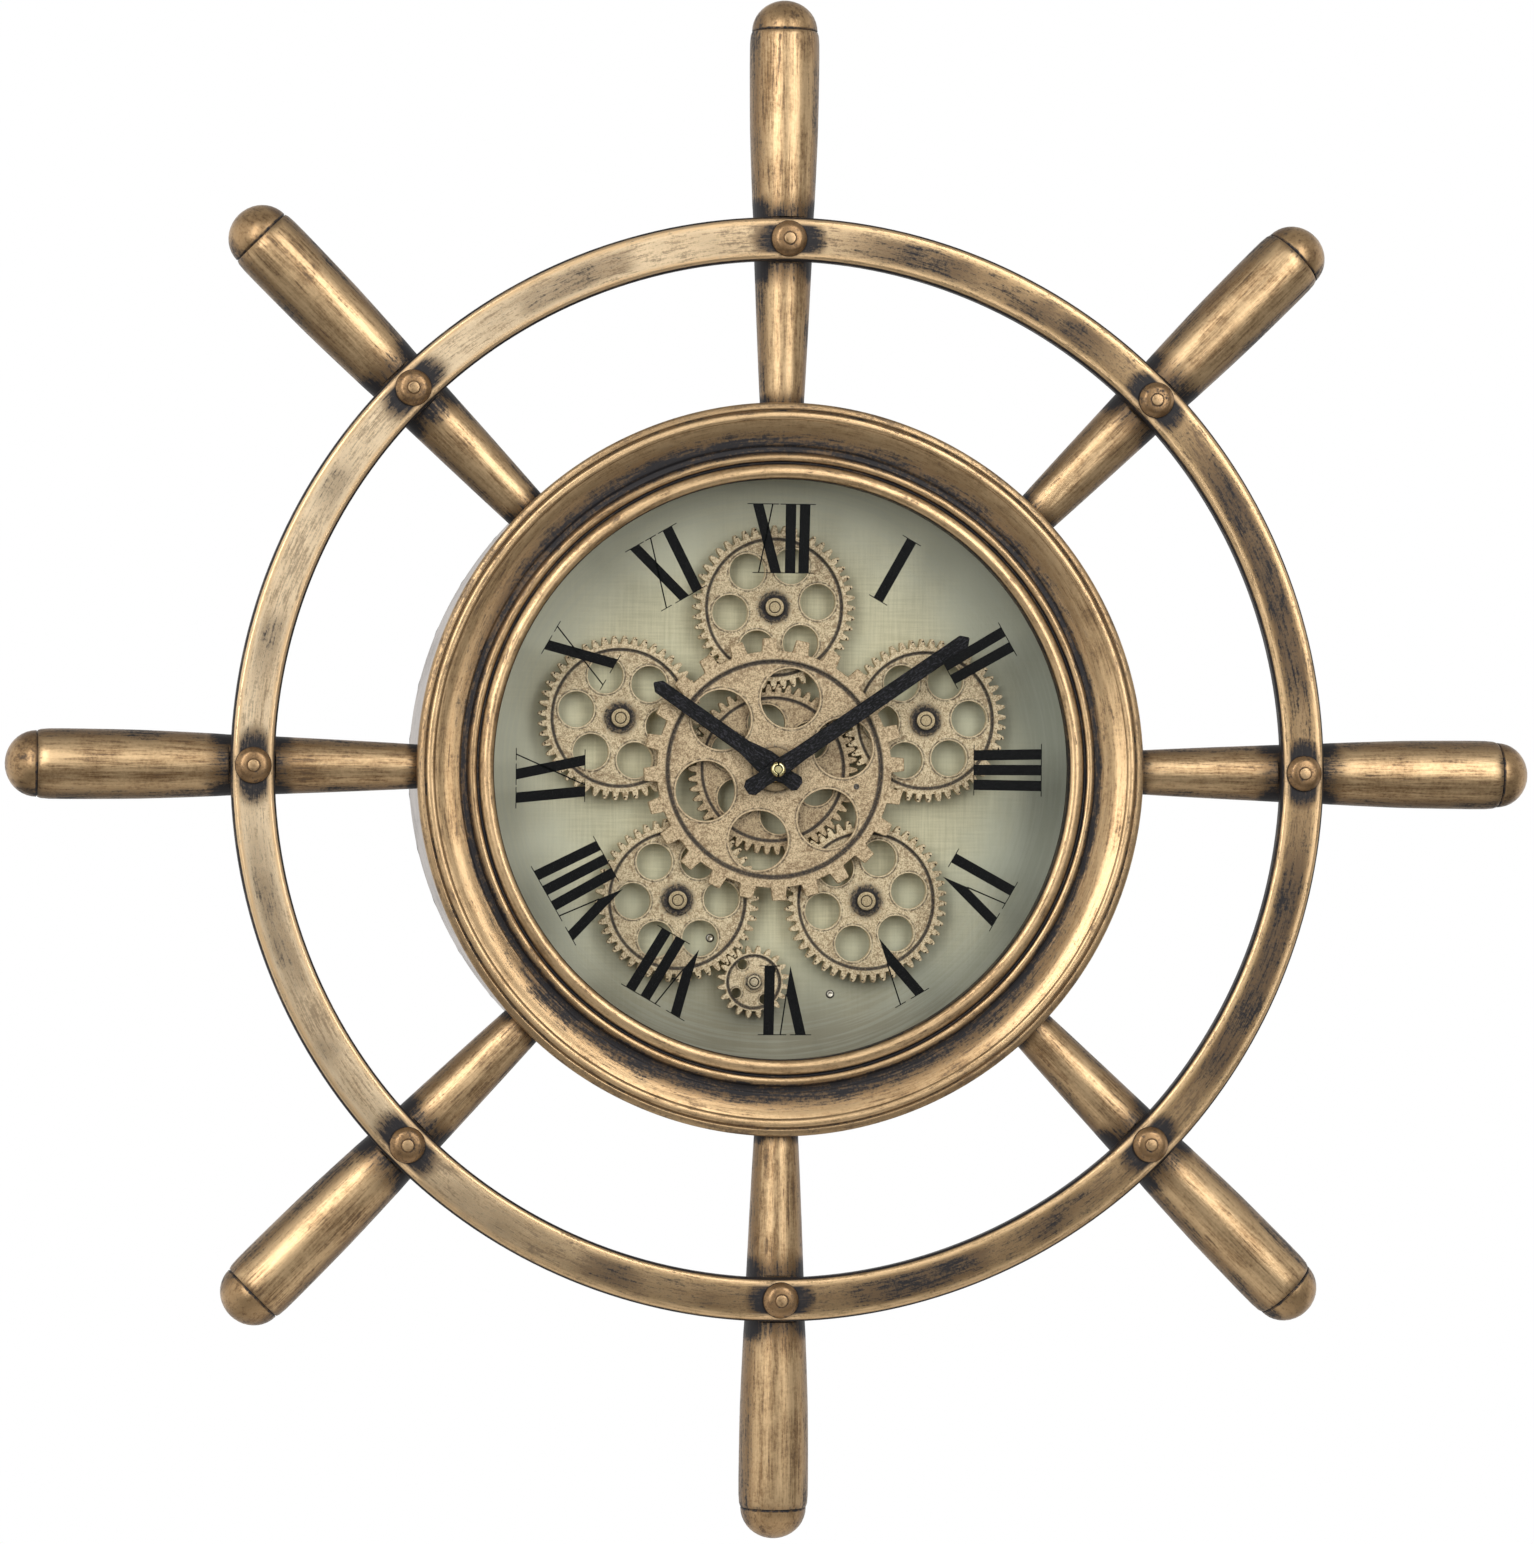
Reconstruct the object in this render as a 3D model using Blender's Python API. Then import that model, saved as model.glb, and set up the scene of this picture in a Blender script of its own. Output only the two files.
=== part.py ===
"""Ship's wheel wall clock with an open train of turning gears.

Metres, +Z up. The dial looks along -Y, the wall is the plane Y = 0 and the
clock's axis is the world's Y axis. Every piece is drawn in clock space, where
X is right, Y is up and Z is the height above the wall, towards the reader.
The empty clock_axis turns clock space into the world.
"""

import math

import bmesh
import bpy
from mathutils import Matrix

# Clearances that all the pieces share
GAP = 0.0003
OVERRUN = 0.002
WELD = 0.00001
SMOOTH_ANGLE = math.radians(35)

# The wheel: a flat rim bolted on the front of eight turned spokes
SPOKE_COUNT = 8
RIM_RADIUS = 0.2143
HANDLE_REACH = 0.0857
RIM_WIDTH = 0.0169
RIM_THICKNESS = 0.006
RIM_CHAMFER = 0.0016
RIM_STANDS_PROUD = 0.003

SPOKE_DROP = 0.013
SPOKE_FOOT_RADIUS = 0.0085
SPOKE_RIM_RADIUS = 0.0108
HANDLE_NECK_RADIUS = 0.0116
HANDLE_BELLY_RADIUS = 0.0134
HANDLE_END_RADIUS = 0.0121
HANDLE_BELLY_FROM_TIP = 0.043
RIM_SEAT_MARGIN = 0.0006
TENON_RADIUS = 0.004
TENON_LENGTH = 0.006

BOLT_HEAD_RADIUS = 0.0071
BOLT_CROWN_RADIUS = 0.0052
BOLT_HEAD_HEIGHT = 0.0028
BOLT_NUB_RADIUS = 0.0022
BOLT_NUB_HEIGHT = 0.0007
BOLT_SHANK_RADIUS = 0.003
BOLT_GRIP = 0.008

# The case: a drum closed by a turned bezel in front and a cover behind
LIP_LEVEL = 0.072
DRUM_RADIUS = 0.140
DRUM_WALL = 0.0016
SHEET = 0.0017

LIP_OVERHANG = 0.0026
LIP_THICKNESS = 0.004
BEZEL_REACHES_IN = 0.0272
BEZEL_SPIGOT_DEPTH = 0.0045
BEZEL_SPIGOT_WALL = 0.002
# Across from the sight edge to the lip, and up from the lip's back to its face
BEZEL_FACE_SHARES = (
    (0.00, 0.35), (0.06, 1.15), (0.115, 1.30), (0.17, 1.15), (0.22, 0.75),
    (0.285, 1.00), (0.37, 0.28), (0.44, 0.36), (0.62, 0.50), (0.76, 0.95),
    (0.84, 1.20), (0.90, 1.00), (1.00, 0.90),
)

GLASS_LAP = 0.0057
GLASS_THICKNESS = 0.003
GLASS_DROP = 0.006
RETAINER_WIDTH = 0.004
RETAINER_GRIP = 0.0035
RETAINER_THICKNESS = 0.0015

DIAL_DROP = 0.037
DIAL_SHEET = 0.0012
DIAL_RING_WIDTH = 0.010

KEYHOLE_HEIGHT = 0.100
KEYHOLE_RADIUS = 0.0055
KEYHOLE_SLOT_RADIUS = 0.0026
KEYHOLE_SLOT_RISE = 0.012
HATCH_WIDTH = 0.066
HATCH_HEIGHT = 0.024
HATCH_CORNER = 0.004

# The gear train: a sun gear, five idlers round it and one pinion
MODULE = 0.0013
PRESSURE_ANGLE = math.radians(20)
BACKLASH = 0.00025
ADDENDUM = 0.00106
DEDENDUM = 0.0021
SUN_TEETH = 50
IDLER_TEETH = 48
PINION_TEETH = 20
PINION_ADDENDUM = 0.0013
PINION_DEDENDUM = 0.0015
IDLER_COUNT = 5
IDLER_FIRST_ANGLE = math.radians(90)
IDLER_TEETH_TURNED = (0, 2, 0, -2, 1)
PINION_IDLER_INDEX = 2
PINION_ANGLE = math.radians(-46.4)

GEAR_THICKNESS = 0.004
GEAR_LEVEL = 0.039
GEAR_RIM_WIDTH = 0.002
GEAR_RECESS = 0.0008
GEAR_HOLE_COUNT = 6
GEAR_HOLE_CIRCLE_SHARE = 0.603
GEAR_HOLE_SHARE = 0.243
SUN_HOLE_TURN = math.radians(38)
IDLER_HUB_RADIUS = 0.0059
SUN_HUB_RADIUS = 0.0085

PINION_RIM_WIDTH = 0.0009
PINION_HUB_RADIUS = 0.0040
PINION_HUB_DEPTH = 0.002
PINION_HOLE_COUNT = 4
PINION_HOLE_CIRCLE = 0.0081
PINION_HOLE_RADIUS = 0.0021
PINION_HOLE_ANGLE = math.radians(33)

FRONT_GEAR_TEETH = 24
FRONT_GEAR_RADIUS = 0.0516
FRONT_GEAR_ROOT_RADIUS = 0.0465
FRONT_GEAR_RIM_WIDTH = 0.0039
FRONT_GEAR_TIP_SHARE = 0.38
FRONT_GEAR_BASE_SHARE = 0.50
FRONT_GEAR_THICKNESS = 0.003
FRONT_GEAR_LEVEL = 0.0445
FRONT_GEAR_HOLE_CIRCLE = 0.0286
FRONT_GEAR_HOLE_RADIUS = 0.0118
FRONT_GEAR_TURN = math.radians(17.6)

POST_RADIUS = 0.0025
POST_HEAD_RADIUS = 0.00374
POST_HEAD_HEIGHT = 0.0012
POST_TAIL = 0.004

# The works behind the dial
SLEEVE_RADIUS = 0.005
SLEEVE_STANDS_PROUD = 0.0015
DIAL_NUT_RADIUS = 0.0085
DIAL_NUT_SIDES = 6
DIAL_NUT_THICKNESS = 0.0017
WASHER_RADIUS = 0.0088
WASHER_THICKNESS = 0.001

MOVEMENT_WIDTH = 0.056
WORKS_DEPTH = 0.0175
MOTOR_WIDTH = 0.062
MOTOR_HEIGHT = 0.040
CASE_CHAMFER = 0.002
BATTERY_RADIUS = 0.0071
BATTERY_LENGTH = 0.0492
BATTERY_NUB_RADIUS = 0.0027
BATTERY_NUB_LENGTH = 0.0013
BAY_CLEARANCE = 0.0006
BAY_DROP = 0.017
MOTOR_BAY_DROP = 0.011
SHAFT_RADIUS = 0.002
SHAFT_ENTRY = 0.0075
SHAFT_HEAD_RADIUS = 0.0028
SHAFT_HEAD_HEIGHT = 0.001

KNOB_RISE = 0.015
KNOB_RADIUS = 0.0065
KNOB_THICKNESS = 0.004
KNOB_RECESS = 0.001
KNOB_STEM_RADIUS = 0.0015
KNOB_STEM_ENTRY = 0.0055
KNOB_HOLE_RADIUS = 0.009
KNOB_GRIP_COUNT = 12
# Along one grip, and out to the knob's edge
KNOB_GRIP_SHARES = ((-0.25, 1.00), (0.25, 1.00), (0.50, 0.88))

# The hands, which show a little after nine minutes past ten
LAST_HOUR_ANGLE = math.radians(300)
MINUTE_HAND_ANGLE = math.radians(55.38)
HAND_RATIO = 12
TUBE_RADIUS = 0.003
TUBE_BORE_RADIUS = 0.0018
TUBE_ENTRY = 0.006
ARBOR_RADIUS = 0.0014
ARBOR_ENTRY = 0.0095
HAND_SHEET = 0.001
HOUR_HAND_LEVEL = 0.051
HOUR_HAND_LENGTH = 0.059
HOUR_HAND_TAIL = 0.0115
HOUR_HAND_WIDTH = 0.0060
HOUR_HUB_WIDTH = 0.0096
MINUTE_HAND_LEVEL = 0.0545
MINUTE_HAND_LENGTH = 0.092
MINUTE_HAND_TAIL = 0.0148
MINUTE_HAND_WIDTH = 0.0062
MINUTE_HUB_WIDTH = 0.0070
# Back from the axis in tail lengths, and out in widths
HAND_TAIL_SHARES = ((1.00, 0.30), (0.86, 0.56), (0.45, 0.50))
# Forward from the axis to where the hub ends and where the bar starts, in hub widths
HAND_HUB_END_SHARE = 0.6
HAND_BAR_START_SHARE = 1.6
# Back from the tip in widths, and out in widths
HAND_TIP_SHARES = ((1.00, 0.50), (0.20, 0.16))
NUT_RADIUS = 0.0029
NUT_HEIGHT = 0.0022

# Facets of the round pieces
CASE_SIDES = 40
RIM_SIDES = 48
SPOKE_SIDES = 10
SMALL_SIDES = 8
RECESS_SIDES = 24
WINDOW_SIDES = 10
PORT_SIDES = 16
DOME_STEPS = 4

# Places worked out from the sizes above
WHEEL_RADIUS = RIM_RADIUS + HANDLE_REACH
LIP_RADIUS = DRUM_RADIUS + LIP_OVERHANG
SIGHT_RADIUS = DRUM_RADIUS - BEZEL_REACHES_IN
GLASS_RADIUS = SIGHT_RADIUS + GLASS_LAP
LIP_BACK = LIP_LEVEL - LIP_THICKNESS
GLASS_LEVEL = LIP_LEVEL - GLASS_DROP
DIAL_LEVEL = LIP_LEVEL - DIAL_DROP
DIAL_BACK = DIAL_LEVEL - DIAL_SHEET
WORKS_FRONT = DIAL_BACK - GAP
WORKS_BACK = WORKS_FRONT - WORKS_DEPTH
DRUM_BACK = SHEET + GAP
SPOKE_LEVEL = LIP_LEVEL - SPOKE_DROP
RIM_FRONT = LIP_LEVEL + RIM_STANDS_PROUD
RIM_BACK = RIM_FRONT - RIM_THICKNESS
RIM_INNER_RADIUS = RIM_RADIUS - RIM_WIDTH
BOLT_CIRCLE = RIM_RADIUS - RIM_WIDTH / 2
DRUM_BORE = DRUM_RADIUS - DRUM_WALL
CAP_SEAM = WHEEL_RADIUS - HANDLE_END_RADIUS
GEAR_FRONT = GEAR_LEVEL + GEAR_THICKNESS
FRONT_GEAR_FACE = FRONT_GEAR_LEVEL + FRONT_GEAR_THICKNESS
IDLER_ORBIT = MODULE * (SUN_TEETH + IDLER_TEETH) / 2
PINION_REACH = MODULE * (IDLER_TEETH + PINION_TEETH) / 2


def clear_scene():
    for item in list(bpy.data.objects):
        bpy.data.objects.remove(item)


def finish(name, colour, roughness, metallic, alpha=1.0):
    """A plain surface for one kind of piece."""
    material = bpy.data.materials.new(name)
    material.use_nodes = True
    shader = material.node_tree.nodes["Principled BSDF"]
    shader.inputs["Base Color"].default_value = (*colour, 1.0)
    shader.inputs["Roughness"].default_value = roughness
    shader.inputs["Metallic"].default_value = metallic
    shader.inputs["Alpha"].default_value = alpha
    material.diffuse_color = (*colour, alpha)
    return material


def polar(radius, angle):
    return radius * math.cos(angle), radius * math.sin(angle)


def circle(radius, sides, centre=(0.0, 0.0), turn=0.0):
    """The corners of a round outline, anticlockwise."""
    corners = [polar(radius, turn + math.tau * side / sides) for side in range(sides)]
    return [(centre[0] + x, centre[1] + y) for x, y in corners]


def ring_of_holes(count, orbit, radius, turn, sides):
    centres = [polar(orbit, turn + math.tau * index / count) for index in range(count)]
    return [circle(radius, sides, centre) for centre in centres]


def rounded_rectangle(width, height, corner, centre=(0.0, 0.0)):
    """A rectangle whose corners are cut at 45 degrees."""
    x, y = width / 2, height / 2
    points = [(x, y - corner), (x - corner, y), (corner - x, y), (-x, y - corner),
              (-x, corner - y), (corner - x, -y), (x - corner, -y), (x, corner - y)]
    return [(centre[0] + px, centre[1] + py) for px, py in points]


def finished_mesh(bm, name):
    bmesh.ops.recalc_face_normals(bm, faces=bm.faces)
    mesh = bpy.data.meshes.new(name)
    bm.to_mesh(mesh)
    bm.free()
    return mesh


def turned(name, profile, sides):
    """A round solid from its half section, a list of (radius, height) points.

    A section that starts and ends on the axis is open there. Any other closes
    on itself and leaves a bore. Straight ahead of each axis lies a facet, not
    an edge, so that what is fixed there meets a flat.
    """
    bm = bmesh.new()
    x, y = polar(1, math.pi / sides)
    points = [bm.verts.new((radius * x, radius * y, height)) for radius, height in profile]
    edges = [bm.edges.new(pair) for pair in zip(points, points[1:])]
    if profile[0][0] > 0:
        edges.append(bm.edges.new((points[-1], points[0])))
    bmesh.ops.spin(bm, geom=points + edges, angle=math.tau, steps=sides,
                   axis=(0, 0, 1), cent=(0, 0, 0), use_merge=True)
    bmesh.ops.remove_doubles(bm, verts=bm.verts, dist=WELD)
    return finished_mesh(bm, name)


def ring_of_points(bm, outline, level):
    return [bm.verts.new((x, y, level)) for x, y in outline]


def sides_of(loop):
    return list(zip(loop, loop[1:] + loop[:1]))


def fill(bm, *loops):
    """The flat face inside the first loop and outside the others."""
    edges = [bm.edges.get(side) or bm.edges.new(side) for loop in loops for side in sides_of(loop)]
    bmesh.ops.triangle_fill(bm, edges=edges, use_beauty=True)


def wall(bm, low, high):
    for (a, b), (d, c) in zip(sides_of(low), sides_of(high)):
        bm.faces.new((a, b, c, d))


def plate(name, outline, low, high, holes=()):
    """A flat solid between two heights from its outline and its holes."""
    bm = bmesh.new()
    bottoms = [ring_of_points(bm, loop, low) for loop in (outline, *holes)]
    tops = [ring_of_points(bm, loop, high) for loop in (outline, *holes)]
    fill(bm, *bottoms)
    fill(bm, *tops)
    for bottom, top in zip(bottoms, tops):
        wall(bm, bottom, top)
    return finished_mesh(bm, name)


def cylinder(name, radius, low, high, sides):
    return turned(name, [(0, low), (radius, low), (radius, high), (0, high)], sides)


def moved(mesh, matrix):
    """The mesh itself, carried to another place."""
    mesh.transform(matrix)
    return mesh


def combined(mesh, operation, *others):
    """One solid from several: what the others take away from it or add to it."""
    body = bpy.data.objects.new(mesh.name, mesh)
    bpy.context.scene.collection.objects.link(body)
    tools = []
    for other in others:
        tool = bpy.data.objects.new(other.name, other)
        tool.hide_render = True
        tool.display_type = 'WIRE'
        bpy.context.scene.collection.objects.link(tool)
        cut = body.modifiers.new(other.name, 'BOOLEAN')
        cut.operation = operation
        cut.solver = 'EXACT'
        cut.object = tool
        tools.append(tool)
    result = bpy.data.meshes.new_from_object(
        body.evaluated_get(bpy.context.evaluated_depsgraph_get()))
    result.name = mesh.name
    for item in (body, *tools):
        bpy.data.objects.remove(item)
    return result


def cut_from(mesh, *tools):
    return combined(mesh, 'DIFFERENCE', *tools)


def joined_with(mesh, *others):
    return combined(mesh, 'UNION', *others)


def piece(name, mesh, material, parent, location=(0, 0, 0), rotation=(0, 0, 0)):
    """One sub-part: its own object, on the empty that carries it."""
    if not mesh.materials:
        mesh.materials.append(material)
        mesh.shade_smooth()
        mesh.set_sharp_from_angle(angle=SMOOTH_ANGLE)
    item = bpy.data.objects.new(name, mesh)
    item.parent = parent
    item.location = location
    item.rotation_euler = rotation
    bpy.context.scene.collection.objects.link(item)
    return item


def empty(name, parent=None, location=(0, 0, 0), rotation=(0, 0, 0)):
    item = bpy.data.objects.new(name, None)
    item.parent = parent
    item.location = location
    item.rotation_euler = rotation
    bpy.context.scene.collection.objects.link(item)
    return item


# The wheel

def rim_seat_level():
    """Height of the spokes' flats under the rim, above the spokes' axis."""
    return RIM_BACK - GAP - SPOKE_LEVEL


def spoke_mesh():
    """A spoke with its handle, turned about Z. Z is the way out from the clock's axis.

    -X is towards the reader. The foot has a tenon for the drum's wall, and the
    rim lies in a flat with the bolt's bore in it.
    """
    foot = DRUM_RADIUS + GAP
    tenon_end = DRUM_BORE - TENON_LENGTH
    body = turned("spoke", [
        (0, tenon_end),
        (TENON_RADIUS, tenon_end),
        (TENON_RADIUS, foot),
        (SPOKE_FOOT_RADIUS, foot),
        (SPOKE_RIM_RADIUS, BOLT_CIRCLE),
        (HANDLE_NECK_RADIUS, RIM_RADIUS + RIM_WIDTH / 2),
        (HANDLE_BELLY_RADIUS, WHEEL_RADIUS - HANDLE_BELLY_FROM_TIP),
        (HANDLE_END_RADIUS, CAP_SEAM - GAP),
        (0, CAP_SEAM - GAP),
    ], SPOKE_SIDES)
    seat = rim_seat_level()
    flat = plate("rim_flat", rounded_rectangle(
        2 * (SPOKE_RIM_RADIUS + OVERRUN), RIM_WIDTH + 2 * RIM_SEAT_MARGIN, RIM_SEAT_MARGIN),
        seat, seat + SPOKE_RIM_RADIUS)
    bore = cylinder("bolt_bore", BOLT_SHANK_RADIUS + GAP, seat - BOLT_GRIP - GAP, seat + OVERRUN,
                    SMALL_SIDES)
    towards_reader = Matrix.Translation((0, 0, BOLT_CIRCLE)) @ Matrix.Rotation(-math.pi / 2, 4, 'Y')
    across = towards_reader @ Matrix.Rotation(math.pi / 2, 4, 'Z')
    return cut_from(body, moved(flat, across), moved(bore, towards_reader))


def cap_mesh():
    """The round end of a handle, a dome that closes the handle's end."""
    turns = [math.pi / 2 * step / DOME_STEPS for step in range(DOME_STEPS)]
    dome = [(HANDLE_END_RADIUS * math.cos(turn), CAP_SEAM + HANDLE_END_RADIUS * math.sin(turn))
            for turn in turns]
    return turned("handle_cap", [(0, CAP_SEAM), *dome, (0, WHEEL_RADIUS)], SPOKE_SIDES)


def bolt_mesh():
    """A rim bolt: sloped head, flat nub and the shank that enters the spoke."""
    under = RIM_FRONT + GAP
    shank_end = RIM_BACK - BOLT_GRIP
    return turned("rim_bolt", [
        (0, shank_end),
        (BOLT_SHANK_RADIUS, shank_end),
        (BOLT_SHANK_RADIUS, under),
        (BOLT_HEAD_RADIUS, under),
        (BOLT_CROWN_RADIUS, under + BOLT_HEAD_HEIGHT),
        (BOLT_NUB_RADIUS, under + BOLT_HEAD_HEIGHT),
        (BOLT_NUB_RADIUS, under + BOLT_HEAD_HEIGHT + BOLT_NUB_HEIGHT),
        (0, under + BOLT_HEAD_HEIGHT + BOLT_NUB_HEIGHT),
    ], SMALL_SIDES)


def rim_mesh():
    """The flat rim, chamfered in front, with a hole for each bolt."""
    band = turned("wheel_ring", [
        (RIM_INNER_RADIUS, RIM_BACK),
        (RIM_RADIUS, RIM_BACK),
        (RIM_RADIUS, RIM_FRONT - RIM_CHAMFER),
        (RIM_RADIUS - RIM_CHAMFER, RIM_FRONT),
        (RIM_INNER_RADIUS + RIM_CHAMFER, RIM_FRONT),
        (RIM_INNER_RADIUS, RIM_FRONT - RIM_CHAMFER),
    ], RIM_SIDES)
    holes = [cylinder("bolt_hole", BOLT_SHANK_RADIUS + GAP, RIM_BACK - OVERRUN,
                      RIM_FRONT + OVERRUN, SMALL_SIDES) for _ in range(SPOKE_COUNT)]
    for hole, angle in zip(holes, spoke_angles()):
        moved(hole, Matrix.Translation((*polar(BOLT_CIRCLE, angle), 0)))
    return cut_from(band, *holes)


def spoke_angles():
    return [math.tau * index / SPOKE_COUNT for index in range(SPOKE_COUNT)]


def build_wheel(axis):
    bronze = finish("antique_bronze", (0.46, 0.31, 0.17), 0.38, 0.9)
    rim_bronze = finish("rim_bronze", (0.50, 0.34, 0.19), 0.35, 0.9)
    cap_bronze = finish("cap_bronze", (0.44, 0.29, 0.15), 0.40, 0.9)
    bolt_bronze = finish("bolt_bronze", (0.34, 0.23, 0.13), 0.45, 0.9)
    spoke, cap, bolt = spoke_mesh(), cap_mesh(), bolt_mesh()
    piece("wheel_ring", rim_mesh(), rim_bronze, axis)
    for number, angle in enumerate(spoke_angles(), start=1):
        outward = (0, math.pi / 2, angle)
        piece(f"spoke_{number}", spoke, bronze, axis, (0, 0, SPOKE_LEVEL), outward)
        piece(f"handle_cap_{number}", cap, cap_bronze, axis, (0, 0, SPOKE_LEVEL), outward)
        piece(f"rim_bolt_{number}", bolt, bolt_bronze, axis, (*polar(BOLT_CIRCLE, angle), 0))


# The case

def drum_mesh():
    """The drum's wall, from the cover to the bezel, with a hole for each tenon."""
    front = LIP_BACK - GAP
    shell = turned("drum_shell", [
        (DRUM_RADIUS, DRUM_BACK),
        (DRUM_RADIUS, front),
        (DRUM_BORE, front),
        (DRUM_BORE, DRUM_BACK),
    ], CASE_SIDES)
    holes = []
    for angle in spoke_angles():
        hole = cylinder("tenon_hole", TENON_RADIUS + GAP, DRUM_BORE - OVERRUN,
                        DRUM_RADIUS + OVERRUN, SPOKE_SIDES)
        outward = Matrix.Rotation(angle, 4, 'Z') @ Matrix.Rotation(math.pi / 2, 4, 'Y')
        holes.append(moved(hole, Matrix.Translation((0, 0, SPOKE_LEVEL)) @ outward))
    return cut_from(shell, *holes)


def bezel_mesh():
    """The turned bezel: beads, a groove, a wide cove and the outer lip."""
    band = LIP_RADIUS - SIGHT_RADIUS
    face = [(SIGHT_RADIUS + across * band, LIP_BACK + rise * LIP_THICKNESS)
            for across, rise in BEZEL_FACE_SHARES]
    spigot_radius = DRUM_BORE - GAP
    spigot_bore = spigot_radius - BEZEL_SPIGOT_WALL
    glass_seat = GLASS_LEVEL + GAP
    return turned("bezel", [
        *face,
        (LIP_RADIUS, LIP_BACK),
        (spigot_radius, LIP_BACK),
        (spigot_radius, LIP_BACK - BEZEL_SPIGOT_DEPTH),
        (spigot_bore, LIP_BACK - BEZEL_SPIGOT_DEPTH),
        (spigot_bore, glass_seat),
        (SIGHT_RADIUS, glass_seat),
    ], CASE_SIDES)


def retainer_mesh():
    """The ring behind the glass that holds it against the bezel."""
    glass_back = GLASS_LEVEL - GLASS_THICKNESS
    inner = GLASS_RADIUS - RETAINER_GRIP
    outer = GLASS_RADIUS + RETAINER_WIDTH
    low = glass_back - GAP - RETAINER_THICKNESS
    return turned("glass_retainer", [
        (inner, low),
        (outer, low),
        (outer, GLASS_LEVEL),
        (GLASS_RADIUS + GAP, GLASS_LEVEL),
        (GLASS_RADIUS + GAP, glass_back - GAP),
        (inner, glass_back - GAP),
    ], CASE_SIDES)


def dial_ring_mesh():
    """The ring in the drum that the dial lies on."""
    front = DIAL_BACK - GAP
    return turned("dial_ring", [
        (DRUM_BORE - DIAL_RING_WIDTH, front - SHEET),
        (DRUM_BORE - GAP, front - SHEET),
        (DRUM_BORE - GAP, front),
        (DRUM_BORE - DIAL_RING_WIDTH, front),
    ], CASE_SIDES)


def dial_mesh():
    """The dial, a flat disc with holes for the sleeve, the posts and the motor's shaft."""
    disc = cylinder("dial_plate", DRUM_BORE - GAP, DIAL_BACK, DIAL_LEVEL, CASE_SIDES)
    low, high = DIAL_BACK - OVERRUN, DIAL_LEVEL + OVERRUN
    holes = [cylinder("sleeve_hole", SLEEVE_RADIUS + GAP, low, high, WINDOW_SIDES)]
    for x, y in idler_places():
        hole = cylinder("post_hole", POST_RADIUS + GAP, low, high, SMALL_SIDES)
        holes.append(moved(hole, Matrix.Translation((x, y, 0))))
    shaft_hole = cylinder("shaft_hole", SHAFT_RADIUS + GAP, low, high, SMALL_SIDES)
    holes.append(moved(shaft_hole, Matrix.Translation((*pinion_place(), 0))))
    return cut_from(disc, *holes)


def keyhole():
    """A round hole with a narrow slot rising from it, for the wall screw."""
    neck = math.asin(KEYHOLE_SLOT_RADIUS / KEYHOLE_RADIUS)
    around = math.tau - 2 * neck
    slot_steps = SMALL_SIDES // 2
    points = [polar(KEYHOLE_RADIUS, math.pi / 2 + neck + around * step / PORT_SIDES)
              for step in range(PORT_SIDES + 1)]
    points += [(x, y + KEYHOLE_SLOT_RISE) for x, y in
               (polar(KEYHOLE_SLOT_RADIUS, math.pi * step / slot_steps)
                for step in range(slot_steps + 1))]
    return [(x, y + KEYHOLE_HEIGHT) for x, y in points]


def hatch(centre):
    """The opening through which a battery is changed."""
    return rounded_rectangle(HATCH_WIDTH, HATCH_HEIGHT, HATCH_CORNER, centre)


def build_case(axis):
    piece("drum_shell", drum_mesh(), finish("drum_bronze", (0.42, 0.37, 0.31), 0.35, 0.9), axis)
    piece("bezel", bezel_mesh(), finish("bezel_bronze", (0.48, 0.33, 0.18), 0.33, 0.9), axis)
    glass = cylinder("glass", GLASS_RADIUS, GLASS_LEVEL - GLASS_THICKNESS, GLASS_LEVEL, CASE_SIDES)
    piece("glass", glass, finish("clear_glass", (0.86, 0.90, 0.88), 0.05, 0.0, 0.25), axis)
    piece("glass_retainer", retainer_mesh(), finish("retainer_steel", (0.30, 0.28, 0.25), 0.5, 0.8),
          axis)
    piece("dial_ring", dial_ring_mesh(), finish("ring_steel", (0.30, 0.28, 0.25), 0.5, 0.8), axis)
    piece("dial_plate", dial_mesh(), finish("dial_paint", (0.40, 0.40, 0.29), 0.6, 0.0), axis)
    motor_x, motor_y = pinion_place()
    edge = circle(DRUM_RADIUS, CASE_SIDES, turn=math.pi / CASE_SIDES)
    cover = plate("rear_cover", edge, 0, SHEET, holes=[
        circle(KNOB_HOLE_RADIUS, PORT_SIDES, (0, KNOB_RISE)),
        hatch((0, -BAY_DROP)),
        hatch((motor_x, motor_y - MOTOR_BAY_DROP)),
        keyhole(),
    ])
    piece("rear_cover", cover, finish("cover_steel", (0.10, 0.10, 0.10), 0.55, 0.6), axis)


# The gear train

def involute(angle):
    return math.tan(angle) - angle


def toothed_outline(teeth, addendum, dedendum):
    """A gear's outline with involute flanks, each tooth from root to tip to root."""
    pitch_radius = MODULE * teeth / 2
    base_radius = pitch_radius * math.cos(PRESSURE_ANGLE)
    pitch_half = math.pi / (2 * teeth) - BACKLASH / (2 * pitch_radius)

    def half_width(radius):
        pressure = math.acos(min(1, base_radius / radius))
        return pitch_half + involute(PRESSURE_ANGLE) - involute(pressure)

    root, tip = pitch_radius - dedendum, pitch_radius + addendum
    corners = ((root, -half_width(root)), (tip, -half_width(tip)),
               (tip, half_width(tip)), (root, half_width(root)))
    return [polar(radius, math.tau * tooth / teeth + turn)
            for tooth in range(teeth) for radius, turn in corners]


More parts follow.
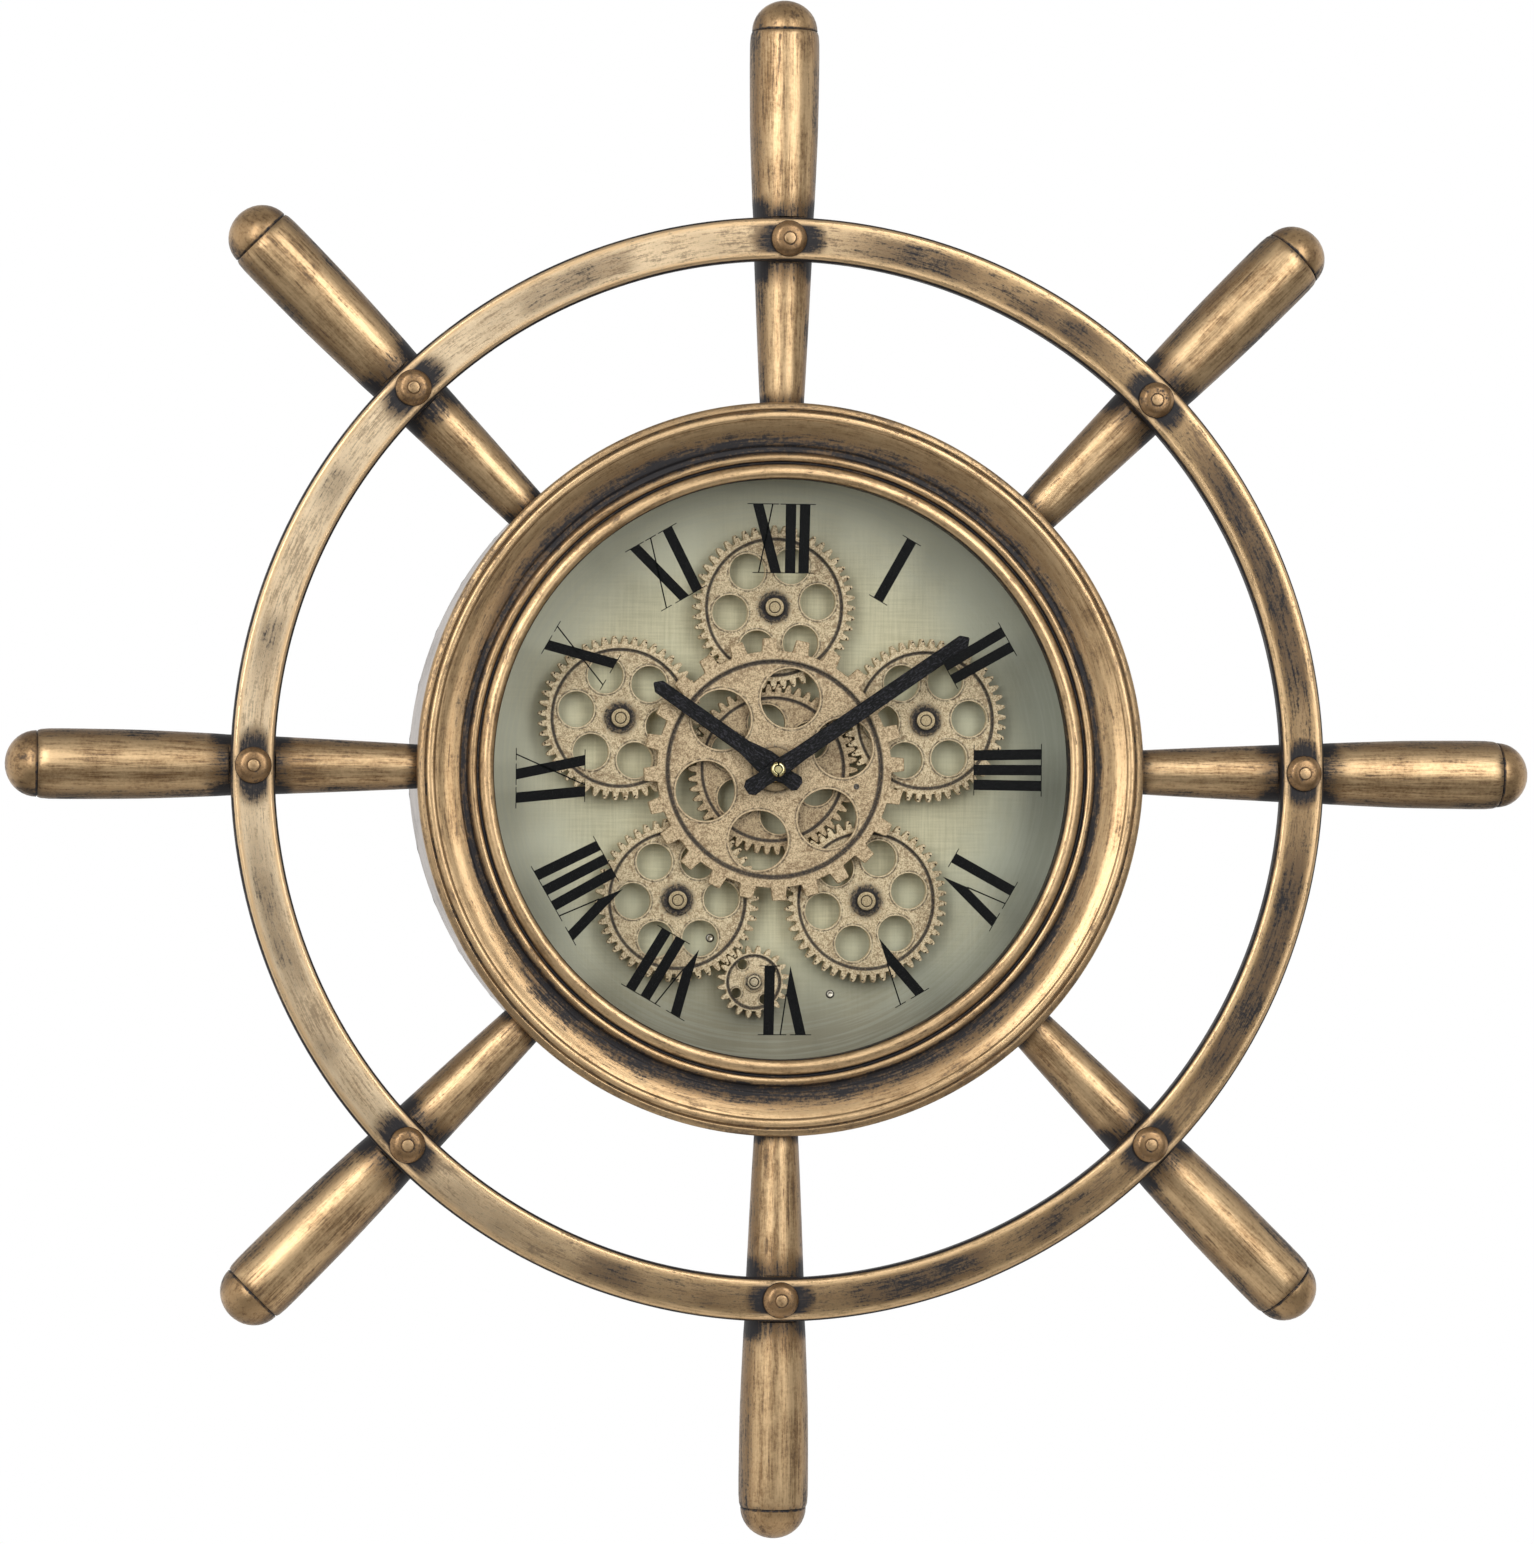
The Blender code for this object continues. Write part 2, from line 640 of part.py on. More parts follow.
def stub_outline():
    """The front gear's outline: short straight-sided teeth."""
    pitch = math.tau / FRONT_GEAR_TEETH
    tip_half = pitch * FRONT_GEAR_TIP_SHARE / 2
    base_half = pitch * FRONT_GEAR_BASE_SHARE / 2
    corners = ((FRONT_GEAR_ROOT_RADIUS, -base_half), (FRONT_GEAR_RADIUS, -tip_half),
               (FRONT_GEAR_RADIUS, tip_half), (FRONT_GEAR_ROOT_RADIUS, base_half))
    return [polar(radius, pitch * tooth + turn)
            for tooth in range(FRONT_GEAR_TEETH) for radius, turn in corners]


def recessed_wheel(name, outline, thickness, windows, bore, hub, recess_radius, boss_depth):
    """A toothed wheel with a sunk web in front, windows in the web and a boss behind."""
    bm = bmesh.new()
    web = thickness - GEAR_RECESS
    recess, hub_round, bore_round = (
        circle(recess_radius, RECESS_SIDES), circle(hub, WINDOW_SIDES), circle(bore, WINDOW_SIDES))
    rim_back, rim_front = (ring_of_points(bm, outline, level) for level in (0, thickness))
    recess_floor, recess_edge = (ring_of_points(bm, recess, level) for level in (web, thickness))
    boss_end, boss_root = (ring_of_points(bm, hub_round, level) for level in (-boss_depth, 0))
    hub_foot, hub_face = (ring_of_points(bm, hub_round, level) for level in (web, thickness))
    bore_back, bore_front = (ring_of_points(bm, bore_round, level)
                             for level in (-boss_depth, thickness))
    windows_back = [ring_of_points(bm, window, 0) for window in windows]
    windows_front = [ring_of_points(bm, window, web) for window in windows]
    fill(bm, rim_back, boss_root, *windows_back)
    fill(bm, rim_front, recess_edge)
    fill(bm, recess_floor, hub_foot, *windows_front)
    fill(bm, hub_face, bore_front)
    fill(bm, boss_end, bore_back)
    for low, high in ((rim_back, rim_front), (recess_floor, recess_edge), (boss_end, boss_root),
                      (hub_foot, hub_face), (bore_back, bore_front),
                      *zip(windows_back, windows_front)):
        wall(bm, low, high)
    return finished_mesh(bm, name)


def train_wheel(name, teeth, hole_turn, bore, hub, boss_depth):
    root = MODULE * teeth / 2 - DEDENDUM
    windows = ring_of_holes(GEAR_HOLE_COUNT, GEAR_HOLE_CIRCLE_SHARE * root,
                            GEAR_HOLE_SHARE * root, hole_turn, WINDOW_SIDES)
    return recessed_wheel(name, toothed_outline(teeth, ADDENDUM, DEDENDUM), GEAR_THICKNESS,
                          windows, bore, hub, root - GEAR_RIM_WIDTH, boss_depth)


def idler_angles():
    return [IDLER_FIRST_ANGLE + math.tau * index / IDLER_COUNT for index in range(IDLER_COUNT)]


def idler_places():
    return [polar(IDLER_ORBIT, angle) for angle in idler_angles()]


def pinion_place():
    x, y = idler_places()[PINION_IDLER_INDEX]
    reach_x, reach_y = polar(PINION_REACH, PINION_ANGLE)
    return x + reach_x, y + reach_y


def turn_in_mesh(direction, driver_turn, driver_teeth, teeth):
    """How far a gear is turned so that its gaps take the driver's teeth.

    direction runs from the driver's centre to the gear's.
    """
    lead = direction - driver_turn
    return direction + math.pi + lead * driver_teeth / teeth + math.pi / teeth


def build_train(axis):
    gold = finish("idler_gold", (0.62, 0.50, 0.33), 0.6, 0.5)
    steel = finish("post_steel", (0.35, 0.32, 0.28), 0.4, 0.9)
    bore = SLEEVE_RADIUS + GAP
    centre = empty("centre_gears", axis)
    nut_face = DIAL_LEVEL + GAP + DIAL_NUT_THICKNESS
    sun = train_wheel("sun_gear", SUN_TEETH, SUN_HOLE_TURN, bore, SUN_HUB_RADIUS,
                      GEAR_LEVEL - nut_face - GAP)
    piece("sun_gear", sun, finish("sun_gold", (0.55, 0.44, 0.29), 0.6, 0.5), centre,
          (0, 0, GEAR_LEVEL))
    windows = ring_of_holes(GEAR_HOLE_COUNT, FRONT_GEAR_HOLE_CIRCLE, FRONT_GEAR_HOLE_RADIUS, 0,
                            PORT_SIDES)
    front = recessed_wheel("front_gear", stub_outline(), FRONT_GEAR_THICKNESS, windows, bore,
                           SUN_HUB_RADIUS, FRONT_GEAR_ROOT_RADIUS - FRONT_GEAR_RIM_WIDTH,
                           FRONT_GEAR_LEVEL - GEAR_FRONT - GAP)
    piece("front_gear", front, finish("front_gold", (0.66, 0.53, 0.35), 0.6, 0.5), centre,
          (0, 0, FRONT_GEAR_LEVEL), (0, 0, FRONT_GEAR_TURN))

    idler = train_wheel("idler_gear", IDLER_TEETH, 0, POST_RADIUS + GAP, IDLER_HUB_RADIUS,
                        GEAR_LEVEL - DIAL_LEVEL - GAP)
    post = turned("idler_post", [
        (0, DIAL_BACK - POST_TAIL),
        (POST_RADIUS, DIAL_BACK - POST_TAIL),
        (POST_RADIUS, GEAR_FRONT + GAP),
        (POST_HEAD_RADIUS, GEAR_FRONT + GAP),
        (POST_HEAD_RADIUS, GEAR_FRONT + GAP + POST_HEAD_HEIGHT),
        (0, GEAR_FRONT + GAP + POST_HEAD_HEIGHT),
    ], SMALL_SIDES)
    turns = []
    for index, (angle, (x, y)) in enumerate(zip(idler_angles(), idler_places())):
        spare_teeth = IDLER_TEETH_TURNED[index % len(IDLER_TEETH_TURNED)]
        turn = turn_in_mesh(angle, 0, SUN_TEETH, IDLER_TEETH) + math.tau * spare_teeth / IDLER_TEETH
        turns.append(turn)
        number = index + 1
        piece(f"idler_gear_{number}", idler, gold, axis, (x, y, GEAR_LEVEL), (0, 0, turn))
        piece(f"idler_post_{number}", post, steel, axis, (x, y, 0))

    pinion_turn = turn_in_mesh(PINION_ANGLE, turns[PINION_IDLER_INDEX], IDLER_TEETH, PINION_TEETH)
    pinion_holes = ring_of_holes(PINION_HOLE_COUNT, PINION_HOLE_CIRCLE, PINION_HOLE_RADIUS,
                                 PINION_HOLE_ANGLE - pinion_turn, SMALL_SIDES)
    pinion_root = MODULE * PINION_TEETH / 2 - PINION_DEDENDUM
    pinion_teeth = toothed_outline(PINION_TEETH, PINION_ADDENDUM, PINION_DEDENDUM)
    pinion = recessed_wheel("drive_pinion", pinion_teeth, GEAR_THICKNESS, pinion_holes,
                            SHAFT_RADIUS + GAP, PINION_HUB_RADIUS,
                            pinion_root - PINION_RIM_WIDTH, PINION_HUB_DEPTH)
    x, y = pinion_place()
    piece("drive_pinion", pinion, finish("pinion_gold", (0.68, 0.55, 0.37), 0.6, 0.5), axis,
          (x, y, GEAR_LEVEL), (0, 0, pinion_turn))
    shaft_end = WORKS_FRONT - SHAFT_ENTRY
    shaft = turned("motor_shaft", [
        (0, shaft_end),
        (SHAFT_RADIUS, shaft_end),
        (SHAFT_RADIUS, GEAR_FRONT + GAP),
        (SHAFT_HEAD_RADIUS, GEAR_FRONT + GAP),
        (SHAFT_HEAD_RADIUS, GEAR_FRONT + GAP + SHAFT_HEAD_HEIGHT),
        (0, GEAR_FRONT + GAP + SHAFT_HEAD_HEIGHT),
    ], SMALL_SIDES)
    piece("motor_shaft", shaft, finish("shaft_steel", (0.50, 0.45, 0.38), 0.35, 0.9), axis, (x, y, 0))


# The works behind the dial

def bay_tool(name, x, y):
    """The trough that a battery lies in, open to the back."""
    width = BATTERY_LENGTH + BATTERY_NUB_LENGTH + 2 * BAY_CLEARANCE
    height = 2 * (BATTERY_RADIUS + BAY_CLEARANCE)
    floor = WORKS_BACK + height + GAP
    return plate(name, rounded_rectangle(width, height, BAY_CLEARANCE, (x, y)),
                 WORKS_BACK - OVERRUN, floor)


def battery_mesh():
    """A round cell along X, its nub at the right end."""
    half = (BATTERY_LENGTH + BATTERY_NUB_LENGTH) / 2
    cell = turned("battery", [
        (0, -half),
        (BATTERY_RADIUS, -half),
        (BATTERY_RADIUS, half - BATTERY_NUB_LENGTH),
        (BATTERY_NUB_RADIUS, half - BATTERY_NUB_LENGTH),
        (BATTERY_NUB_RADIUS, half),
        (0, half),
    ], WINDOW_SIDES)
    return moved(cell, Matrix.Rotation(math.pi / 2, 4, 'Y'))


def build_works(axis):
    case_black = finish("movement_plastic", (0.04, 0.04, 0.04), 0.45, 0.0)
    motor_white = finish("motor_plastic", (0.70, 0.70, 0.68), 0.45, 0.0)
    brass = finish("works_brass", (0.72, 0.55, 0.28), 0.3, 0.9)
    cell_coat = finish("battery_wrap", (0.25, 0.27, 0.30), 0.35, 0.3)

    case = plate("clock_movement", rounded_rectangle(MOVEMENT_WIDTH, MOVEMENT_WIDTH, CASE_CHAMFER),
                 WORKS_BACK, WORKS_FRONT)
    tube_seat = WORKS_FRONT - TUBE_ENTRY - GAP
    arbor_seat = WORKS_FRONT - ARBOR_ENTRY - GAP
    hand_bore = turned("hand_bore", [
        (0, arbor_seat),
        (ARBOR_RADIUS + GAP, arbor_seat),
        (ARBOR_RADIUS + GAP, tube_seat),
        (TUBE_RADIUS + GAP, tube_seat),
        (TUBE_RADIUS + GAP, WORKS_FRONT + OVERRUN),
        (0, WORKS_FRONT + OVERRUN),
    ], SMALL_SIDES)
    knob_bore = cylinder("knob_bore", KNOB_STEM_RADIUS + GAP, WORKS_BACK - OVERRUN,
                         WORKS_BACK + KNOB_STEM_ENTRY + GAP, SMALL_SIDES)
    moved(knob_bore, Matrix.Translation((0, KNOB_RISE, 0)))
    case = cut_from(case, hand_bore, knob_bore, bay_tool("clock_bay", 0, -BAY_DROP))
    piece("clock_movement", case, case_black, axis)

    x, y = pinion_place()
    motor = plate("gear_motor", rounded_rectangle(MOTOR_WIDTH, MOTOR_HEIGHT, CASE_CHAMFER, (x, y)),
                  WORKS_BACK, WORKS_FRONT)
    shaft_bore = cylinder("shaft_bore", SHAFT_RADIUS + GAP, WORKS_FRONT - SHAFT_ENTRY - GAP,
                          WORKS_FRONT + OVERRUN, SMALL_SIDES)
    moved(shaft_bore, Matrix.Translation((x, y, 0)))
    motor = cut_from(motor, shaft_bore, bay_tool("motor_bay", x, y - MOTOR_BAY_DROP))
    piece("gear_motor", motor, motor_white, axis)

    battery = battery_mesh()
    battery_level = WORKS_BACK + BATTERY_RADIUS + BAY_CLEARANCE
    piece("clock_battery", battery, cell_coat, axis, (0, -BAY_DROP, battery_level))
    piece("motor_battery", battery, cell_coat, axis, (x, y - MOTOR_BAY_DROP, battery_level))

    sleeve_top = FRONT_GEAR_FACE + GAP + WASHER_THICKNESS + SLEEVE_STANDS_PROUD
    sleeve = plate("centre_sleeve", circle(SLEEVE_RADIUS, WINDOW_SIDES), WORKS_FRONT + GAP, sleeve_top,
                   holes=[circle(TUBE_RADIUS + GAP, WINDOW_SIDES)])
    piece("centre_sleeve", sleeve, brass, axis)
    nut = plate("dial_nut", circle(DIAL_NUT_RADIUS, DIAL_NUT_SIDES), DIAL_LEVEL + GAP,
                DIAL_LEVEL + GAP + DIAL_NUT_THICKNESS,
                holes=[circle(SLEEVE_RADIUS + GAP, WINDOW_SIDES)])
    piece("dial_nut", nut, finish("nut_brass", (0.66, 0.52, 0.28), 0.35, 0.9), axis)
    washer = plate("gear_washer", circle(WASHER_RADIUS, PORT_SIDES), FRONT_GEAR_FACE + GAP,
                   FRONT_GEAR_FACE + GAP + WASHER_THICKNESS,
                   holes=[circle(SLEEVE_RADIUS + GAP, WINDOW_SIDES)])
    piece("gear_washer", washer, finish("washer_bronze", (0.45, 0.36, 0.25), 0.5, 0.8), axis)


def build_knob(axis):
    """The knob that sets the hands, on its stem through the rear cover's port."""
    edge = [polar(KNOB_RADIUS * out, math.tau * (grip + along) / KNOB_GRIP_COUNT)
            for grip in range(KNOB_GRIP_COUNT) for along, out in KNOB_GRIP_SHARES]
    back = KNOB_RECESS
    disc = plate("time_set_knob", edge, back, back + KNOB_THICKNESS)
    stem = cylinder("stem", KNOB_STEM_RADIUS, back + KNOB_THICKNESS / 2,
                    WORKS_BACK + KNOB_STEM_ENTRY, SMALL_SIDES)
    piece("time_set_knob", joined_with(disc, stem), finish("knob_plastic", (0.60, 0.08, 0.06), 0.4, 0.0),
          axis, (0, KNOB_RISE, 0))


# The hands

def hand_outline(length, tail, width, hub_width):
    """A hand along +X: blunt pointed tip, wider hub and a flared tail."""
    side = [
        *((-back * tail, out * width) for back, out in HAND_TAIL_SHARES),
        (0, hub_width / 2),
        (HAND_HUB_END_SHARE * hub_width, hub_width / 2),
        (HAND_BAR_START_SHARE * hub_width, width / 2),
        *((length - back * width, out * width) for back, out in HAND_TIP_SHARES),
    ]
    upper = [(x, y) for x, y in reversed(side)]
    lower = [(x, -y) for x, y in side]
    return lower + [(length, 0)] + upper


def hand_mesh(name, length, tail, width, hub_width, bore):
    return plate(name, hand_outline(length, tail, width, hub_width), 0, HAND_SHEET,
                 holes=[circle(bore, WINDOW_SIDES)])


def build_hands(axis):
    black = finish("hour_hand_black", (0.012, 0.013, 0.018), 0.55, 0.3)
    minute_black = finish("minute_hand_black", (0.012, 0.013, 0.018), 0.55, 0.3)
    brass = finish("hand_nut_brass", (0.80, 0.66, 0.32), 0.25, 1.0)
    steel = finish("arbor_steel", (0.5, 0.5, 0.5), 0.3, 1.0)
    hour_angle = math.pi / 2 - LAST_HOUR_ANGLE - MINUTE_HAND_ANGLE / HAND_RATIO
    minute_angle = math.pi / 2 - MINUTE_HAND_ANGLE

    hour = empty("hour_axis", axis, rotation=(0, 0, hour_angle))
    piece("hour_hand", hand_mesh("hour_hand", HOUR_HAND_LENGTH, HOUR_HAND_TAIL, HOUR_HAND_WIDTH,
                                 HOUR_HUB_WIDTH, TUBE_RADIUS + GAP), black, hour,
          (0, 0, HOUR_HAND_LEVEL))
    tube = plate("hour_tube", circle(TUBE_RADIUS, WINDOW_SIDES), WORKS_FRONT - TUBE_ENTRY,
                 HOUR_HAND_LEVEL + HAND_SHEET + GAP, holes=[circle(TUBE_BORE_RADIUS, WINDOW_SIDES)])
    piece("hour_tube", tube, finish("tube_brass", (0.70, 0.54, 0.27), 0.3, 0.9), hour)

    minute = empty("minute_axis", axis, rotation=(0, 0, minute_angle))
    piece("minute_hand", hand_mesh("minute_hand", MINUTE_HAND_LENGTH, MINUTE_HAND_TAIL,
                                   MINUTE_HAND_WIDTH, MINUTE_HUB_WIDTH, ARBOR_RADIUS + GAP),
          minute_black, minute, (0, 0, MINUTE_HAND_LEVEL))
    nut_level = MINUTE_HAND_LEVEL + HAND_SHEET + GAP
    arbor = cylinder("minute_arbor", ARBOR_RADIUS, WORKS_FRONT - ARBOR_ENTRY,
                     nut_level + NUT_HEIGHT, SMALL_SIDES)
    piece("minute_arbor", arbor, steel, minute)
    nut = plate("hand_nut", circle(NUT_RADIUS, PORT_SIDES), nut_level, nut_level + NUT_HEIGHT,
                holes=[circle(ARBOR_RADIUS + GAP, SMALL_SIDES)])
    piece("hand_nut", nut, brass, minute)


clear_scene()
clock_axis = empty("clock_axis", rotation=(math.pi / 2, 0, 0))
build_wheel(clock_axis)
build_case(clock_axis)
build_train(clock_axis)
build_works(clock_axis)
build_knob(clock_axis)
build_hands(clock_axis)
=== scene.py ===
import math

import bmesh
import bpy
from mathutils import Matrix, Vector


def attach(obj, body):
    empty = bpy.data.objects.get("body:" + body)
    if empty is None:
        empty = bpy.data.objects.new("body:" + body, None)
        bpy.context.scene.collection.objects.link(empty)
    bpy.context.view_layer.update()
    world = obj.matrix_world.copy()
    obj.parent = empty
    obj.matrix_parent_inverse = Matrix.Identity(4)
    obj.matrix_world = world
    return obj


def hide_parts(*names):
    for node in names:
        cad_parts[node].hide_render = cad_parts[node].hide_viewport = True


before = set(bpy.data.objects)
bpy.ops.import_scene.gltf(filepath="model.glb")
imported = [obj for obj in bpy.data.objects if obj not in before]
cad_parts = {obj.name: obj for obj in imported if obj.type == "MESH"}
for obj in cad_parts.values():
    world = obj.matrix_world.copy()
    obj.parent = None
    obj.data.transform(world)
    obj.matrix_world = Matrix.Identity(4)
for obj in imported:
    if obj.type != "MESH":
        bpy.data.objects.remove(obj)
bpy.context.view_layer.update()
scene = bpy.context.scene


# The room that the clock is shown in: white behind and at the sides, darker below, with a
# tall soft box on each side of the camera and a pale floor. The camera stands to the left.

class Flow:
    """A value on its way through a material: sums written on it become its nodes."""

    def __init__(self, tree, socket=None):
        self.tree, self.socket = tree, socket

    def node(self, kind, settings, sockets, out=0):
        """Adds a node: first its settings, then the values and links of its sockets."""
        made = self.tree.nodes.new(kind)
        for setting, value in settings.items():
            setattr(made, setting, value)
        for name, value in sockets.items():
            if isinstance(value, Flow):
                self.tree.links.new(value.socket, made.inputs[name])
            else:
                made.inputs[name].default_value = value
        return Flow(self.tree, made.outputs[out])

    def beside(self, out):
        """Another output of the node that this comes from."""
        return Flow(self.tree, self.socket.node.outputs[out])

    def sum(self, operation, first, second=0.0):
        return self.node("ShaderNodeMath", {"operation": operation}, {0: first, 1: second})

    def __add__(self, other):
        return self.sum("ADD", self, other)

    def __sub__(self, other):
        return self.sum("SUBTRACT", self, other)

    def __rsub__(self, other):
        return self.sum("SUBTRACT", other, self)

    def __mul__(self, other):
        return self.sum("MULTIPLY", self, other)

    def __truediv__(self, other):
        return self.sum("DIVIDE", self, other)

    def __abs__(self):
        return self.sum("ABSOLUTE", self)

    __radd__ = __add__
    __rmul__ = __mul__

    def root(self):
        return self.sum("POWER", self, 0.5)

    def most(self, *others):
        """The greatest of this and the others."""
        greatest = self
        for other in others:
            greatest = self.sum("MAXIMUM", greatest, other)
        return greatest

    def ease(self, nothing, full):
        """0 up to one value, 1 from another on, and smooth between them."""
        return self.node("ShaderNodeMapRange", {"interpolation_type": "SMOOTHSTEP"},
                         {"Value": self, "From Min": nothing, "From Max": full})

    def arrow(self, operation, first, second=(0, 0, 0), out=0):
        """A sum on arrows, which have three parts each."""
        return self.node("ShaderNodeVectorMath", {"operation": operation}, {0: first, 1: second}, out)

    def parts(self):
        """The three parts of an arrow."""
        first = self.node("ShaderNodeSeparateXYZ", {}, {0: self}, "X")
        return first, first.beside("Y"), first.beside("Z")

    def length(self):
        return self.arrow("LENGTH", self, out="Value")

    def stretch(self, x, y, z):
        return self.arrow("MULTIPLY", self, (x, y, z))

    def shifted(self, x=0.0, y=0.0):
        return self.arrow("ADD", self, self.node("ShaderNodeCombineXYZ", {}, {"X": x, "Y": y}))

    def blend(self, under, over):
        """One colour where this is 0 and another where it is 1."""
        return self.node("ShaderNodeMix", {"data_type": "RGBA"}, {0: self, 6: under, 7: over}, 2)

    def noise(self, scale, detail=2.0, roughness=0.5):
        return self.node("ShaderNodeTexNoise", {}, {"Vector": self, "Scale": scale, "Detail": detail,
                                                    "Roughness": roughness}, "Fac")


def paint(red, green, blue):
    """A colour as it is seen on a screen, from 0 to 255, made linear for the shader."""
    return (*((part / 255 / 12.92 if part < 10.3 else ((part / 255 + 0.055) / 1.055) ** 2.4)
              for part in (red, green, blue)), 1.0)


scene.view_settings.view_transform = "Standard"
room = bpy.data.worlds.new("studio_room")
room.use_nodes = True
room.node_tree.nodes.clear()
scene.world = room
air = Flow(room.node_tree)
way_x, way_y, way_z = air.node("ShaderNodeTexCoord", {}, {}, "Generated").parts()
low_light = 0.17 * way_z.ease(-1.0, -0.4)
level_light = 0.28 * way_z.ease(-0.25, 0.3) * way_z.ease(1.4, 0.5)
left_light = 0.70 * way_x.ease(-0.60, -0.95)
right_light = 0.65 * way_x.ease(0.8, 0.97) * way_y.ease(-0.15, 0.1)
soft_light = 0.08 + low_light + level_light + left_light + right_light
ray = air.node("ShaderNodeLightPath", {}, {}, "Is Camera Ray")
sees_white = (ray + ray.beside("Is Transmission Ray")).most(
    ray.beside("Is Glossy Ray") * way_y.ease(-0.12, 0.2) * abs(way_z).ease(0.75, 0.35))
sky = air.node("ShaderNodeBackground", {}, {"Color": soft_light.most(sees_white), "Strength": 1.0})
room_out = room.node_tree.nodes.new("ShaderNodeOutputWorld")
room.node_tree.links.new(sky.socket, room_out.inputs["Surface"])

# Metres and watts
SOFT_BOX_WIDTH, SOFT_BOX_HEIGHT = 0.85, 1.9
for lamp_name, spot, power in (("left_box", (-1.13, -1.95, 0.78), 24),
                               ("right_box", (0.92, -2.06, 0.78), 20)):
    lamp = bpy.data.lights.new(lamp_name, "AREA")
    lamp.shape, lamp.energy = "RECTANGLE", power
    lamp.size, lamp.size_y = SOFT_BOX_WIDTH, SOFT_BOX_HEIGHT
    stand = bpy.data.objects.new(lamp_name, lamp)
    stand.location = spot
    stand.rotation_euler = (-Vector(spot)).to_track_quat("-Z", "Y").to_euler()
    scene.collection.objects.link(stand)

# The camera looks at the middle of the bezel's front, a little aside and below it
BEZEL_FRONT = Vector((0, -0.072, 0))
YAW, ROLL = math.radians(8.2), math.radians(0.46)
REACH, SIDE_SHIFT, DOWN_SHIFT = 2.4, 0.0065, 0.001
LENS, SENSOR = 144.14, 36.0
ahead = Vector((math.sin(YAW), math.cos(YAW), 0))
level = Vector((math.cos(YAW), -math.sin(YAW), 0))
aside = level * math.cos(ROLL) + Vector((0, 0, math.sin(ROLL)))
overhead = Vector((0, 0, math.cos(ROLL))) - level * math.sin(ROLL)
eye = BEZEL_FRONT - ahead * REACH - aside * SIDE_SHIFT - overhead * DOWN_SHIFT
camera = bpy.data.objects.new("camera", bpy.data.cameras.new("camera"))
camera.data.lens, camera.data.sensor_width = LENS, SENSOR
camera.matrix_world = Matrix.Translation(eye) @ Matrix((aside, overhead, -ahead)).transposed().to_4x4()
scene.collection.objects.link(camera)
scene.camera = camera


def new_finish(name, **plain):
    """A material with its plain shader values, and a Flow to draw its varying ones with."""
    material = bpy.data.materials.new(name)
    material.use_nodes = True
    shader = material.node_tree.nodes["Principled BSDF"]
    for socket, value in plain.items():
        shader.inputs[socket.replace("_", " ")].default_value = value
    return material, Flow(material.node_tree)


def lay_on(material, varying, relief=None, depth=0.0):
    """Links what varies to the material's shader, and a height in metres to its normal."""
    tree = material.node_tree
    shader = tree.nodes["Principled BSDF"]
    for socket, flow in varying.items():
        tree.links.new(flow.socket, shader.inputs[socket])
    if relief:
        bump = relief.node("ShaderNodeBump", {}, {"Strength": 1.0, "Distance": depth, "Height": relief})
        tree.links.new(bump.socket, shader.inputs["Normal"])


floor_paint, start = new_finish("floor_paint", Roughness=0.7)
where = start.node("ShaderNodeTexCoord", {}, {}, "Object")
floor_tint = where.noise(9.0, 4.0).ease(0.3, 0.7)
lay_on(floor_paint, {"Base Color": floor_tint.blend(paint(244, 243, 242), paint(250, 249, 248)),
                     "Alpha": where.stretch(1, 1, 0).length().ease(0.72, 0.1)})
FLOOR_RADIUS, FLOOR_SPOT = 0.75, (0, -0.1, -0.47)
bm = bmesh.new()
bmesh.ops.create_circle(bm, cap_ends=True, segments=96, radius=FLOOR_RADIUS,
                        matrix=Matrix.Translation(FLOOR_SPOT))
floor_mesh = bpy.data.meshes.new("floor")
bm.to_mesh(floor_mesh)
bm.free()
floor_mesh.materials.append(floor_paint)
floor = bpy.data.objects.new("floor", floor_mesh)
scene.collection.objects.link(floor)


# The rim. A flat aluminium ring with chamfered edges, painted antique bronze, brushed
# round and smoked dark about its eight bolts. It is bolted on the front of the spokes.

# The pieces are drawn in clock space, in millimetres: X is right, Y is up and Z is the
# height above the wall. This lays them into the frame, where the dial looks along -Y.
to_world = Matrix.Rotation(math.pi / 2, 4, "X") @ Matrix.Scale(0.001, 4)

SPOKE_COUNT, BOLT_CIRCLE = 8, 205.85
RIM_INNER, RIM_OUTER, RIM_BACK, RIM_FRONT, RIM_CHAMFER = 197.4, 214.3, 69.0, 75.0, 1.5


def turned(profile, sides):
    """A shape turned about Z from its half section of (radius, height, corner radius).

    A section that starts and ends on the axis is open there; any other closes on itself.
    """
    bm = bmesh.new()
    corners = [bm.verts.new((radius, 0, height)) for radius, height, *_ in profile]
    for pair in zip(corners, corners[1:]):
        bm.edges.new(pair)
    if profile[0][0] > 0:
        bm.edges.new((corners[-1], corners[0]))
    for corner, (_, _, *rounding) in zip(corners, profile):
        if rounding:
            bmesh.ops.bevel(bm, geom=[corner], offset=rounding[0], affect="VERTICES", segments=3,
                            profile=0.5, material=-1)
    bmesh.ops.spin(bm, geom=bm.verts[:] + bm.edges[:], angle=math.tau, steps=sides,
                   axis=(0, 0, 1), cent=(0, 0, 0), use_merge=True)
    bmesh.ops.remove_doubles(bm, verts=bm.verts, dist=0.001)
    bmesh.ops.recalc_face_normals(bm, faces=bm.faces)
    return bm


